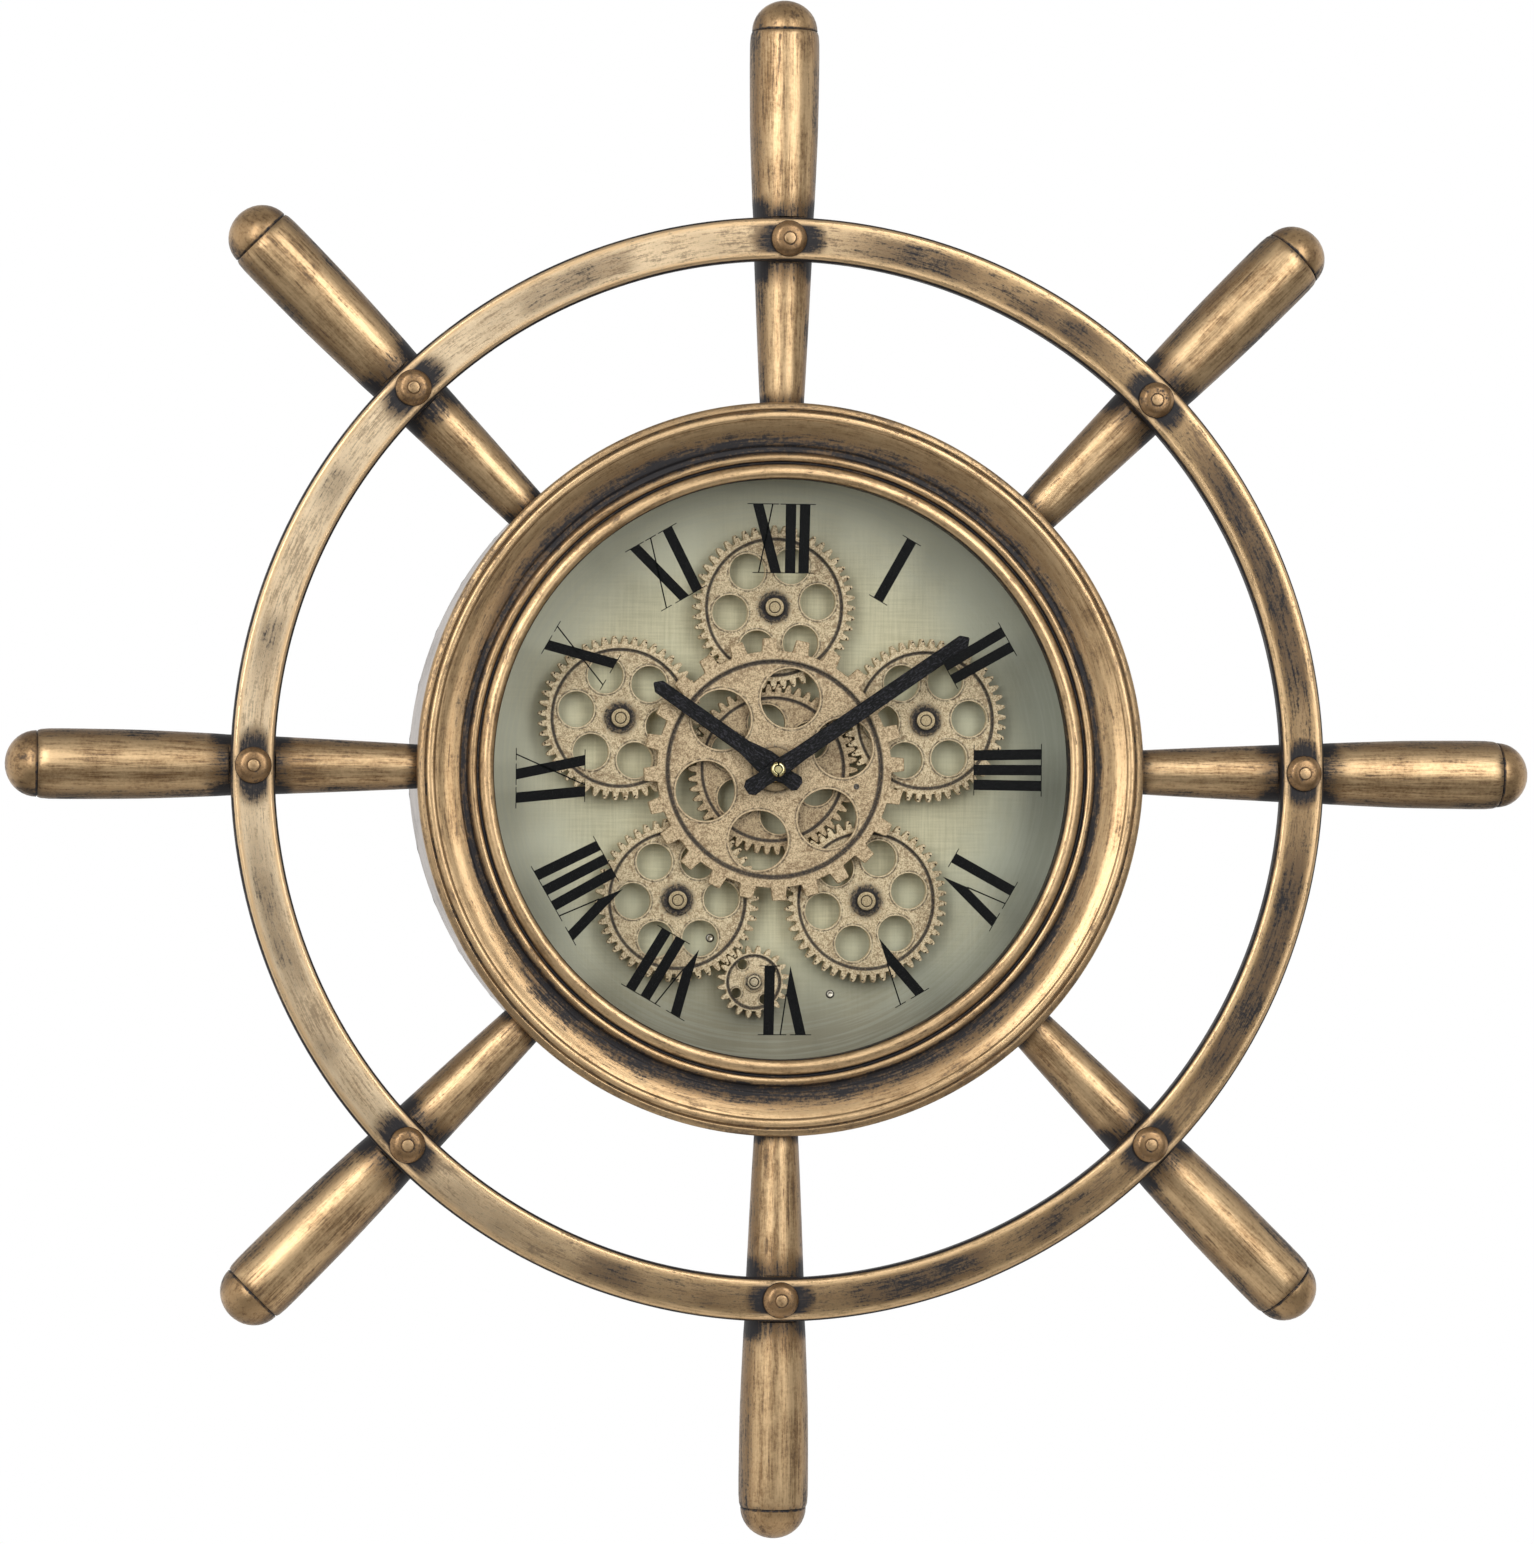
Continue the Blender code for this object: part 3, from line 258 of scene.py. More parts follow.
def put(name, bm, matrix, material, body, slot, *nodes, sharp=40):
    """The finished mesh as a piece that rides on its CAD body, in place of its CAD nodes."""
    bmesh.ops.transform(bm, matrix=to_world @ matrix, verts=bm.verts)
    mesh = bpy.data.meshes.new(name)
    bm.to_mesh(mesh)
    bm.free()
    mesh.materials.append(material)
    mesh.shade_smooth()
    mesh.set_sharp_from_angle(angle=math.radians(sharp))
    item = bpy.data.objects.new(name, mesh)
    scene.collection.objects.link(item)
    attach(item, body)
    if nodes:
        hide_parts(*nodes)
    return item


def clock_place(start):
    """Where a point is in the frame, in millimetres."""
    return start.node("ShaderNodeTexCoord", {}, {}, "Object").stretch(1000, 1000, 1000)


def round_the_clock(start, along, across):
    """The place, a pattern that runs round the clock's axis, the radius and the height."""
    place = clock_place(start)
    flat = place.stretch(1, 0, 1)
    radius = flat.length()
    _, depth, _ = place.parts()
    height = -1 * depth
    heading = start.arrow("NORMALIZE", flat).stretch(along, along, along)
    return place, heading.shifted(y=(radius + height * 0.6) * across), radius, height


def from_nearest(right, up, count, turned_by=0.0):
    """The angle to the nearest of several spots that stand evenly round an axis."""
    angle = right.sum("ARCTAN2", up, right)
    return right.sum("PINGPONG", angle + (math.tau - turned_by), math.pi / count)


def bronze(place, grain, dirt_and_shade, worn, pale, deep, smoky=0.5, age=0.0):
    """Antique bronze paint: what the shader gets, and the height of its brush marks.

    Pale bronze is brushed over deep, smoke lies in the scratches, more of it with age, dirt in
    the hollows and painted shade darken it to brown and near black, and the edges are rubbed
    bright where they are worn.
    """
    streak = grain.noise(1.0, 7.0, 0.7)
    sweep = grain.noise(0.24, 3.0, 0.5)
    cloud = place.noise(0.05, 4.0, 0.6)
    grit = place.noise(0.8, 5.0, 0.75)
    tone = (streak * 0.40 + sweep * 0.16 + cloud * 0.32 + grit * 0.18).ease(0.41, 0.63)
    colour = tone.blend(deep, pale)
    scratch = grain.noise(2.3, 5.0, 0.72).ease(0.43, 0.33) * (cloud * 0.6 + sweep * 0.4).ease(0.58, 0.44)
    smoke = (grit * 0.24 + streak * 0.56 + cloud * 0.28 - age).ease(0.52, 0.41).most(scratch)
    colour = (smoke * smoky).blend(colour, paint(66, 60, 55))
    # Dirt and painted shade turn it brown, and where there is more of either, near black.
    brown_dirt_and_shade = (dirt_and_shade * 1.2 + (cloud * 0.6 + streak * 0.4 - 0.5) * 1.8).ease(0.05, 0.8)
    colour = (brown_dirt_and_shade * 0.66).blend(colour, paint(98, 74, 48))
    ragged = (dirt_and_shade * 1.2 + (streak * 0.9 + grit * 0.6 + cloud * 0.5 - 1.0) * 2.2).ease(0.38, 1.05)
    ragged = ragged * dirt_and_shade.ease(0.1, 0.3)
    colour = ragged.blend(colour, paint(32, 29, 31))
    rubbed = worn * (streak * 0.6 + grit * 0.4).ease(0.36, 0.54)
    colour = rubbed.blend(colour, paint(222, 188, 143))
    rough = 0.33 + 0.14 * smoke + 0.2 * ragged + (streak - 0.5) * 0.3
    metal = 0.86 - 0.3 * smoke - 0.5 * ragged
    return {"Base Color": colour, "Roughness": rough, "Metallic": metal}, streak * 0.7 + grit * 0.3


rim_bronze, start = new_finish("rim_bronze")
place, grain, radius, height = round_the_clock(start, 20.0, 1.0)
right, _, up = place.parts()
off_line = abs(radius - BOLT_CIRCLE)
edges = off_line.ease(4.8, 6.4) * off_line.ease(7.8, 7.2)
# Painted shade: the rim's side walls and its back are darker.
shade_on_walls = (off_line.ease(7.3, 8.0) * 0.9).most(height.ease(71.0, 69.2) * 0.5)
middle = off_line.ease(7.0, 2.8)
from_bolt = from_nearest(right, up, SPOKE_COUNT) * radius
stain_along, stain_across = from_bolt / 21.0, off_line / 13.0
stain = (stain_along * stain_along + stain_across * stain_across).root().ease(1.0, 0.3)
# Painted light and shade: the rim is paler towards the left and darker, browner and more smoked towards the
# right.
shade_towards_right = (right - up * 0.3).ease(-190.0, 70.0)
patch = from_bolt.ease(14.0, 50.0) * place.noise(0.02, 2.0).ease(0.34, 0.54)
dirt_and_shade = stain.most(shade_on_walls, shade_towards_right * (0.2 + 0.12 * middle) + middle * (0.08 + 0.27 * patch))
pale = shade_towards_right.blend(paint(246, 223, 187), paint(206, 176, 132))
deep = shade_towards_right.blend(paint(200, 172, 134), paint(146, 116, 78))
coat = bronze(place, grain, dirt_and_shade, edges, pale, deep, 0.5 + 0.15 * shade_towards_right, middle * 0.05)
lay_on(rim_bronze, *coat, 0.00008)

rim = turned([(RIM_INNER, RIM_BACK, 0.3), (RIM_OUTER, RIM_BACK, 0.3),
              (RIM_OUTER, RIM_FRONT - RIM_CHAMFER, 0.5), (RIM_OUTER - RIM_CHAMFER, RIM_FRONT, 0.6),
              (RIM_INNER + RIM_CHAMFER, RIM_FRONT, 0.6), (RIM_INNER, RIM_FRONT - RIM_CHAMFER, 0.5)], 256)
put("rim_ring", rim, Matrix(), rim_bronze, "clock_case", "rim_bronze", "wheel_ring")


# The spokes. Eight turned bars, each one piece with its handle, painted as the rim and
# brushed along. Each has a tenon in the drum's wall and a flat that the rim is bolted to.

SPOKE_LEVEL, SEAT, SEAT_MARGIN = 59.0, 9.7, 0.6
TENON, TENON_END, SPOKE_FOOT, HANDLE_END = 4.0, 132.4, 140.3, 287.55


def keep_lay(bm, lot=None):
    """Remembers each point's place on the piece itself, before it is laid into the clock.

    Like pieces also get a lot each, a number that gives them their own stretch of the pattern.
    """
    layer = bm.verts.layers.float_vector.new("lay")
    for vert in bm.verts:
        vert[layer] = vert.co
    if lot is not None:
        layer = bm.verts.layers.float.new("lot")
        for vert in bm.verts:
            vert[layer] = lot


def own_place(start):
    """Where a point is on the piece itself, as keep_lay remembers it."""
    return start.node("ShaderNodeAttribute", {"attribute_name": "lay"}, {}, "Vector")


def lot_shift(start, right, up):
    """How far a piece's lot moves its pattern."""
    lot = start.node("ShaderNodeAttribute", {"attribute_name": "lot"}, {}, "Fac")
    return lot * right, lot * up


def turned_to(number):
    """Turns a piece about the clock's axis to the spoke of that number."""
    return Matrix.Rotation(math.tau * number / SPOKE_COUNT, 4, "Z")


def outward(number):
    """Lays a piece drawn along Z out from the clock's axis, as the spoke of that number."""
    return (Matrix.Translation((0, 0, SPOKE_LEVEL)) @ turned_to(number)
            @ Matrix.Rotation(math.pi / 2, 4, "Y"))


spoke_bronze, start = new_finish("spoke_bronze")
lay = own_place(start)
back, across, along = lay.parts()
shift = lot_shift(start, 31.7, 17.3)
grain = lay.stretch(1.0, 1.0, 0.05).shifted(*shift)
# Painted shade: the bar is darker along its sides as seen from the front, and on its back towards the wall.
flank = (abs(across) / lay.stretch(1, 1, 0).length()).ease(0.5, 0.9)
at_rim = abs(along - BOLT_CIRCLE).ease(24.0, 9.0) * (0.66 + 0.5 * flank)
at_foot = along.ease(151.0, 141.0) * (0.62 + 0.5 * flank)
at_seam = along.ease(284.0, 287.6) * 0.4
shade_behind = back.ease(-1.0, 9.0) * 0.5
dirt_and_shade = at_rim.most(at_foot, at_seam, flank * 0.52, shade_behind)
coat = bronze(lay.shifted(*shift), grain, dirt_and_shade, 0.0, paint(220, 188, 144), paint(140, 108, 72), 0.58)
lay_on(spoke_bronze, *coat, 0.00012)

for number in range(SPOKE_COUNT):
    spoke = turned([(0, TENON_END), (TENON, TENON_END, 0.6), (TENON, SPOKE_FOOT), (8.5, SPOKE_FOOT, 0.3),
                    (9.05, 150.0), (9.55, 160.0), (10.3, 176.0), (11.2, 196.7), (11.22, 196.9),
                    (11.5, 205.0), (11.8, 214.8), (11.82, 215.0), (12.15, 220.0), (12.6, 230.0),
                    (13.0, 240.0), (13.3, 249.0), (13.45, 258.0), (13.55, 268.0), (13.6, 277.0),
                    (13.55, 283.0), (13.3, 286.2), (12.85, HANDLE_END, 0.15), (0, HANDLE_END)], 48)
    for vert in spoke.verts:
        if RIM_INNER - SEAT_MARGIN < vert.co.z < RIM_OUTER + SEAT_MARGIN and vert.co.x < -SEAT:
            vert.co.x = -SEAT
    keep_lay(spoke, number)
    put(f"turned_spoke_{number + 1}", spoke, outward(number), spoke_bronze, "clock_case",
        "spoke_bronze", f"spoke_{number + 1}")


# The handles' ends. A short turned dome is fixed on the end of each handle and painted with
# it, and a fine dark seam is left between the two.

CAP_RADIUS, SPIGOT, SPIGOT_END, DOME_FOOT, DOME_TOP, DOME_STEPS = 12.8, 12.4, 287.6, 287.9, 300.0, 10

cap_bronze, start = new_finish("cap_bronze")
lay = own_place(start)
back, _, along = lay.parts()
shift = lot_shift(start, 23.1, 41.9)
grain = lay.stretch(0.5, 0.5, 0.22).shifted(*shift)
# Painted shade: the dome is darker on its back towards the wall and on its sides.
shade_behind = back.ease(3.0, 10.0) * 0.5
seam = along.ease(289.2, 288.1) * 0.7
tip = along.ease(296.5, 300.0) * 0.35
flank = lay.stretch(0, 1, 0).length().ease(5.5, 11.5) * 0.5
dirt_and_shade = seam.most(tip, shade_behind, flank, 0.22)
coat = bronze(lay.shifted(*shift), grain, dirt_and_shade, 0.0, paint(204, 170, 126), paint(118, 90, 60), 0.6)
lay_on(cap_bronze, *coat, 0.00018)

quarter = [math.pi / 2 * step / DOME_STEPS for step in range(1, DOME_STEPS)]
dome = [(CAP_RADIUS * math.cos(angle), DOME_FOOT + (DOME_TOP - DOME_FOOT) * math.sin(angle))
        for angle in quarter]
for number in range(SPOKE_COUNT):
    cap = turned([(0, SPIGOT_END), (SPIGOT, SPIGOT_END), (SPIGOT, DOME_FOOT), (CAP_RADIUS, DOME_FOOT, 0.15),
                  *dome, (0, DOME_TOP)], 48)
    keep_lay(cap, number)
    put(f"domed_cap_{number + 1}", cap, outward(number), cap_bronze, "clock_case", "cap_bronze",
        f"handle_cap_{number + 1}")


# The bolts. A turned steel bolt through the rim into each spoke, with a sloped head and a
# flat nub on it, painted over with the wheel.

BOLT_SHANK, BOLT_END, BOLT_SEAT, BOLT_HEAD, BOLT_TOP = 3.0, 61.0, 75.3, 7.1, 78.79

bolt_bronze, start = new_finish("bolt_bronze")
lay = own_place(start)
place = lay.shifted(*lot_shift(start, 13.7, 29.9))
bolt_radius = lay.stretch(1, 1, 0).length()
foot = bolt_radius.ease(6.5, 7.1) * 0.85
step = abs(bolt_radius - 2.55).ease(0.7, 0.1) * 0.5
nub = bolt_radius.ease(2.4, 1.9) * 0.5
coat = bronze(place, place.stretch(0.5, 0.5, 0.5), foot.most(step, 0.3), nub,
              paint(190, 154, 112), paint(124, 96, 66), 0.45)
lay_on(bolt_bronze, *coat, 0.00008)

for number in range(SPOKE_COUNT):
    bolt = turned([(0, BOLT_END), (BOLT_SHANK, BOLT_END, 0.3), (BOLT_SHANK, BOLT_SEAT),
                   (BOLT_HEAD, BOLT_SEAT, 0.2), (7.0, 76.0, 0.4), (5.4, 77.7, 0.5), (4.2, 78.1),
                   (2.5, 78.15), (2.2, 78.74, 0.25), (0, BOLT_TOP)], 40)
    keep_lay(bolt, number)
    put(f"bolt_{number + 1}", bolt, turned_to(number) @ Matrix.Translation((BOLT_CIRCLE, 0, 0)), bolt_bronze,
        "clock_case", "bolt_bronze", f"rim_bolt_{number + 1}")


# The drum. A band of aluminium sheet rolled into the case's wall, brushed round and left
# paler than the wheel, with painted shade under the bezel's lip. The spokes' tenons go through it.

DRUM_BORE, DRUM_RADIUS, DRUM_BACK, DRUM_FRONT = 138.4, 140.0, 2.0, 67.7

drum_bronze, start = new_finish("drum_bronze")
place, grain, _, height = round_the_clock(start, 5.0, 0.55)
# Painted shade: darker under the bezel's lip.
shade_under_lip = height.ease(62.0, 67.0) * 0.35
coat = bronze(place, grain.shifted(y=height * 1.3), shade_under_lip, 0.0, paint(178, 167, 158),
              paint(136, 126, 118), 0.4)
lay_on(drum_bronze, *coat, 0.00005)

drum = turned([(DRUM_BORE, DRUM_BACK), (DRUM_RADIUS, DRUM_BACK, 0.3), (DRUM_RADIUS, DRUM_FRONT),
               (DRUM_BORE, DRUM_FRONT)], 240)
put("drum_wall", drum, Matrix(), drum_bronze, "clock_case", "drum_bronze", "drum_shell")


# The bezel. A turned aluminium ring that closes the drum's front: an inner bead at the
# glass, a second bead, a groove, a wide cove and the lip. Painted as the wheel, with
# painted shade on the cove.

BEZEL_BORE, BEZEL_RADIUS = 112.8, 142.6

bezel_bronze, start = new_finish("bezel_bronze")
place, grain, radius, _ = round_the_clock(start, 13.0, 1.0)
right, _, up = place.parts()
rightward, upward = right / radius, up / radius
groove = abs(radius - 124.3).ease(4.2, 0.5) * 0.85
quirk = abs(radius - 119.2).ease(1.2, 0.3) * 0.9
lip_line = abs(radius - 139.5).ease(1.1, 0.2) * 0.5
sight = radius.ease(113.6, 112.9) * 0.8
# Painted shade on the cove: darker at its top and bottom and towards the upper left, lighter at its sides.
cove_shade = 0.26 + 0.50 * upward.ease(0.1, 0.9) + 0.56 * upward.ease(-0.2, -0.9)
cove_shade = cove_shade + 0.2 * (upward - rightward).ease(0.8, 1.4)
cove_shade = cove_shade * radius.ease(137.0, 125.5) * radius.ease(122.4, 124.0)
lip = radius.ease(138.8, 140.0) * 0.28
beads = abs(radius - 115.8).ease(1.6, 0.4).most(abs(radius - 137.6).ease(1.2, 0.2)) * 0.6
coat = bronze(place, grain, groove.most(quirk, lip_line, sight, cove_shade, lip), beads, paint(216, 184, 140),
              paint(156, 124, 86), 0.62, radius.ease(137.0, 142.0) * 0.05)
lay_on(bezel_bronze, *coat, 0.00006)

bezel = turned([(BEZEL_BORE, 66.3), (BEZEL_BORE, 73.2, 2.3), (118.0, 73.2, 2.2), (118.9, 70.9, 0.3),
                (119.5, 70.9, 0.2), (119.7, 72.6, 1.2), (122.7, 72.6, 1.2), (123.4, 69.2, 0.4),
                (125.4, 69.0, 0.3), (126.2, 69.6, 0.4), (129.0, 69.7, 1.0), (132.2, 70.4, 1.0),
                (134.6, 71.6, 0.8), (135.8, 72.0, 0.3), (136.3, 73.0, 0.8), (138.8, 73.0, 0.8),
                (139.4, 71.8, 0.2), (140.0, 72.5, 0.5), (BEZEL_RADIUS, 71.8, 1.0), (BEZEL_RADIUS, 68.0, 0.4),
                (138.1, 68.0), (138.1, 63.5), (136.1, 63.5), (136.1, 66.3)], 256)
put("turned_bezel", bezel, Matrix(), bezel_bronze, "clock_case", "bezel_bronze", "bezel")


# The glass, a flat clear disc, and the two rings of blackened steel behind it: one holds the
# glass against the bezel, and the dial lies on the other.

def recoat(node, material):
    """A CAD node keeps its shape and gets its finish."""
    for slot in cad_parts[node].material_slots:
        slot.material = material


def speckled(name, speck_noise, reach, dark, light, rough, depth, **plain):
    """A surface of one colour with fine specks in it, which are also its roughness and relief."""
    material, start = new_finish(name, **plain)
    speck = clock_place(start).noise(*speck_noise)
    lay_on(material, {"Base Color": speck.ease(*reach).blend(dark, light), "Roughness": rough + speck * 0.2},
           speck, depth)
    return material


clear_glass, start = new_finish("clear_glass", IOR=1.45)
smear = clock_place(start).stretch(0.02, 0.02, 0.05).noise(1.0, 4.0, 0.6)
facing = start.node("ShaderNodeLayerWeight", {}, {"Blend": 0.2}, "Fresnel")
lay_on(clear_glass, {"Base Color": smear.ease(0.3, 0.7).blend(paint(40, 52, 48), paint(58, 70, 66)),
                     "Roughness": 0.03 + smear.ease(0.5, 0.75) * 0.05,
                     "Alpha": 0.015 + facing * 0.22})
recoat("glass", clear_glass)

black_steel = speckled("black_steel", (0.9, 4.0, 0.65), (0.35, 0.65), paint(62, 58, 53),
                       paint(104, 98, 90), 0.42, 0.00003, Metallic=0.8)
recoat("glass_retainer", black_steel)
recoat("dial_ring", black_steel)


# The numerals. Roman hours in black ink on the back of the glass, their feet towards the
# centre: broad strokes, hairlines and fine serifs.

NUMERAL_TOP, NUMERAL_FOOT, STROKE, HAIR, SERIF, SERIF_HALF = 103.4, 76.6, 4.1, 0.55, 2.1, 0.17
# The levels between which each lies, a little apart so that no two faces share a plane
STROKE_LEVELS, HAIR_LEVELS, SERIF_LEVELS = (62.84, 62.94), (62.86, 62.93), (62.87, 62.92)
# For each hour, its strokes: where each starts at the top and ends at the foot, and for a
# V also where its hairline starts
NUMERALS = {
    12: (("bar", -9.6, -2.4), ("hair", -3.8, -9.2), ("bar", 3.4, 3.2), ("bar", 9.0, 8.5)),
    1: (("bar", -0.6, -0.3),),
    2: (("bar", -3.4, -3.0), ("bar", 3.3, 3.0)),
    3: (("bar", -6.7, -6.1), ("bar", -0.5, -0.4), ("bar", 5.7, 5.4)),
    4: (("bar", -5.5, -4.9), ("vee", 8.6, 3.6, 0.2)),
    5: (("vee", -4.8, -1.4, 4.0),),
    6: (("vee", -8.8, -4.6, -0.8), ("bar", 3.9, 3.5)),
    7: (("vee", -12.9, -8.0, -3.8), ("bar", 0.8, 0.4), ("bar", 7.5, 6.8)),
    8: (("vee", -15.7, -9.9, -6.7), ("bar", -2.2, -2.5), ("bar", 4.6, 3.5), ("bar", 11.3, 9.5)),
    9: (("bar", -11.8, -9.1), ("bar", -2.7, 3.0), ("hair", 5.1, -6.6)),
    10: (("bar", -4.7, 2.5), ("hair", 3.5, -7.0)),
    11: (("bar", -7.2, 0.1), ("hair", 0.0, -8.0), ("bar", 7.5, 6.0)),
}

ink = speckled("numeral_ink", (2.2, 3.0, 0.6), (0.35, 0.7), paint(5, 5, 6), paint(18, 17, 18), 0.42,
               0.00002, Specular_IOR_Level=0.1)


def pull_up(bm, faces, height):
    """Pulls flat faces up, and gives what they leave its walls."""
    raised = bmesh.ops.extrude_face_region(bm, geom=faces)["geom"]
    bmesh.ops.translate(bm, vec=(0, 0, height),
                        verts=[part for part in raised if isinstance(part, bmesh.types.BMVert)])


def inked(bm, corners, levels):
    """A flat shape between its corners, raised from one level to another."""
    low, high = levels
    pull_up(bm, [bm.faces.new([bm.verts.new((x, y, low)) for x, y in corners])], high - low)


def bar(bm, first, last, half, levels):
    """A stroke from one spot to another, cut level at both ends."""
    inked(bm, [(first[0] - half, first[1]), (first[0] + half, first[1]),
               (last[0] + half, last[1]), (last[0] - half, last[1])], levels)


def placed(spot=(0, 0), level=0, turn=0):
    """Sets a piece on a spot of the dial, at a level above the wall, turned about its own axis."""
    return Matrix.Translation((*spot, level)) @ Matrix.Rotation(turn, 4, "Z")


for hour, strokes in NUMERALS.items():
    bm = bmesh.new()
    for kind, top, foot, *hair in strokes:
        half = (HAIR if kind == "hair" else STROKE) / 2
        if kind == "vee":
            away = half if top > foot else -half
            far, near, thin = top + away, top - away, hair[0]
            share = (thin - near) / (thin - far)
            join = (thin + (foot - thin) * share, NUMERAL_TOP + (NUMERAL_FOOT - NUMERAL_TOP) * share)
            inked(bm, [(far, NUMERAL_TOP), (near, NUMERAL_TOP), join, (foot, NUMERAL_FOOT)], STROKE_LEVELS)
            bar(bm, (thin, NUMERAL_TOP), join, HAIR / 2, HAIR_LEVELS)
            ends = [(top, NUMERAL_TOP, half), (thin, NUMERAL_TOP, HAIR / 2)]
        else:
            bar(bm, (top, NUMERAL_TOP), (foot, NUMERAL_FOOT), half, STROKE_LEVELS)
            ends = [(top, NUMERAL_TOP, half), (foot, NUMERAL_FOOT, half)]
        for middle, end, wide in ends:
            bar(bm, (middle, end - SERIF_HALF), (middle, end + SERIF_HALF), wide + SERIF, SERIF_LEVELS)
    bmesh.ops.recalc_face_normals(bm, faces=bm.faces)
    put(f"numeral_{hour}", bm, placed(turn=-math.tau * hour / 12), ink, "clock_case", "hand_black")


# The dial. A steel disc painted sage and cream, dry brushed, with fine turned lines towards
# the edge, and three small screws in it. Towards the edge it turns blue grey, partly its own
# tint and partly painted shade, painted paler at the upper left as light and darker at the lower
# right and along the bottom as shade.

dial_paint, start = new_finish("dial_paint", Metallic=0.0)
place, grain, radius, _ = round_the_clock(start, 3.0, 0.9)
right, _, up = place.parts()
rows = place.stretch(0.05, 1.0, 1.1).noise(1.0, 4.0, 0.6)
columns = place.stretch(1.1, 1.0, 0.05).noise(1.0, 4.0, 0.6)
cloud = place.noise(0.022, 4.0, 0.55)
brushed = rows * 0.5 + columns * 0.5
rings = grain.noise(1.0, 2.0, 0.5).ease(0.42, 0.62) * radius.ease(84.0, 108.0)
edge = (radius + (cloud - 0.5) * 55).ease(62.0, 122.0)
light_to_shade = (right - up).ease(-110.0, 110.0)
foot = up.ease(-66.0, -110.0)
colour = brushed.ease(0.36, 0.64).blend(paint(192, 188, 154), paint(214, 209, 176))
colour = (cloud.ease(0.42, 0.62) * 0.45).blend(colour, paint(198, 200, 172))
# Painted light and shade at the edge: paler towards the upper left, blue grey and darker towards the lower
# right.
colour = (edge * 0.85).blend(colour, light_to_shade.blend(paint(228, 228, 202), paint(166, 171, 154)))
# Painted shade: brown along the bottom, by the bezel.
colour = (foot * 0.6).blend(colour, paint(122, 110, 84))
colour = (rings * 0.2).blend(colour, paint(200, 204, 188))
lay_on(dial_paint, {"Base Color": colour, "Roughness": 0.5 + 0.2 * brushed},
       brushed + rings * 0.2, 0.00006)
recoat("dial_plate", dial_paint)

SCREW_SPOTS = ((24.6, -88.5), (-37.9, -81.2), (-23.4, -66.6))
SCREW_HEAD, DIAL_FACE = 1.7, 35.02

screw_steel, start = new_finish("screw_steel", Metallic=0.9)
lay = own_place(start)
screw_edge = lay.stretch(1, 1, 0).length().ease(0.7, 1.5)
speck = lay.noise(2.5, 3.0, 0.6)
lay_on(screw_steel, {"Base Color": screw_edge.blend(paint(228, 222, 205), paint(70, 68, 64)),
                     "Roughness": 0.3 + speck * 0.25}, speck, 0.00003)
for number, spot in enumerate(SCREW_SPOTS, start=1):
    screw = turned([(0, DIAL_FACE), (SCREW_HEAD, DIAL_FACE), (1.6, 35.3, 0.1), (0.9, 35.5, 0.1),
                    (0.55, 35.25), (0, 35.2)], 24)
    keep_lay(screw)
    put(f"dial_screw_{number}", screw, placed(spot), screw_steel, "clock_case", "post_steel")


# The gears. Cut from steel sheet, with a sunk web, round windows with a fine lip, and a
# boss, and painted sandy gold with dark patina round the hub. The creases at the web's edge
# and round the lips are painted dark, partly patina and partly painted shadow, and the lips
# are painted paler as a highlight. Involute teeth of module 1.3 mm.

MODULE, PRESSURE, BACKLASH = 1.3, math.radians(20), 0.25
ADDENDUM, DEDENDUM = 1.06, 2.1
SUN_TEETH, IDLER_TEETH, FRONT_TEETH = 50, 48, 24
SUN_ROOT, IDLER_ROOT = MODULE * SUN_TEETH / 2 - DEDENDUM, MODULE * IDLER_TEETH / 2 - DEDENDUM
GEAR_RIM, FRONT_WEB_EDGE = 2.0, 42.6
GEAR_LEVEL, FRONT_LEVEL, GEAR_THICKNESS, FRONT_THICKNESS, WEB_RECESS = 39.0, 44.5, 4.0, 3.0, 0.8
CENTRE_HUB, CENTRE_BORE, IDLER_HUB, IDLER_BORE = 8.5, 5.3, 5.9, 2.8
SUN_BOSS, IDLER_BOSS, FRONT_BOSS, FRONT_TURN = 1.7, 3.7, 1.2, math.radians(17.6)
IDLER_ORBIT = MODULE * (SUN_TEETH + IDLER_TEETH) / 2
IDLER_WAYS = [math.radians(90 + 72 * number) for number in range(5)]
# How many teeth each idler is turned on by, so that its windows stand as they should
IDLER_SPARES = (0, 2, 0, -2, 1)
# Each gear's windows: how many, on what orbit, their radius, their lip, and how far round
SUN_WINDOWS = (6, 0.603 * SUN_ROOT, 0.243 * SUN_ROOT, 0.6, math.radians(38))
IDLER_WINDOWS = (6, 0.603 * IDLER_ROOT, 0.243 * IDLER_ROOT, 0.55, 0.0)
FRONT_WINDOWS = (6, 28.6, 11.8, 0.7, 0.0)


def both_flanks(side):
    """A tooth's outline, from one of its sides as (radius, angle) from the root up."""
    return [(radius, -angle) for radius, angle in side] + [(radius, angle) for radius, angle in side[::-1]]


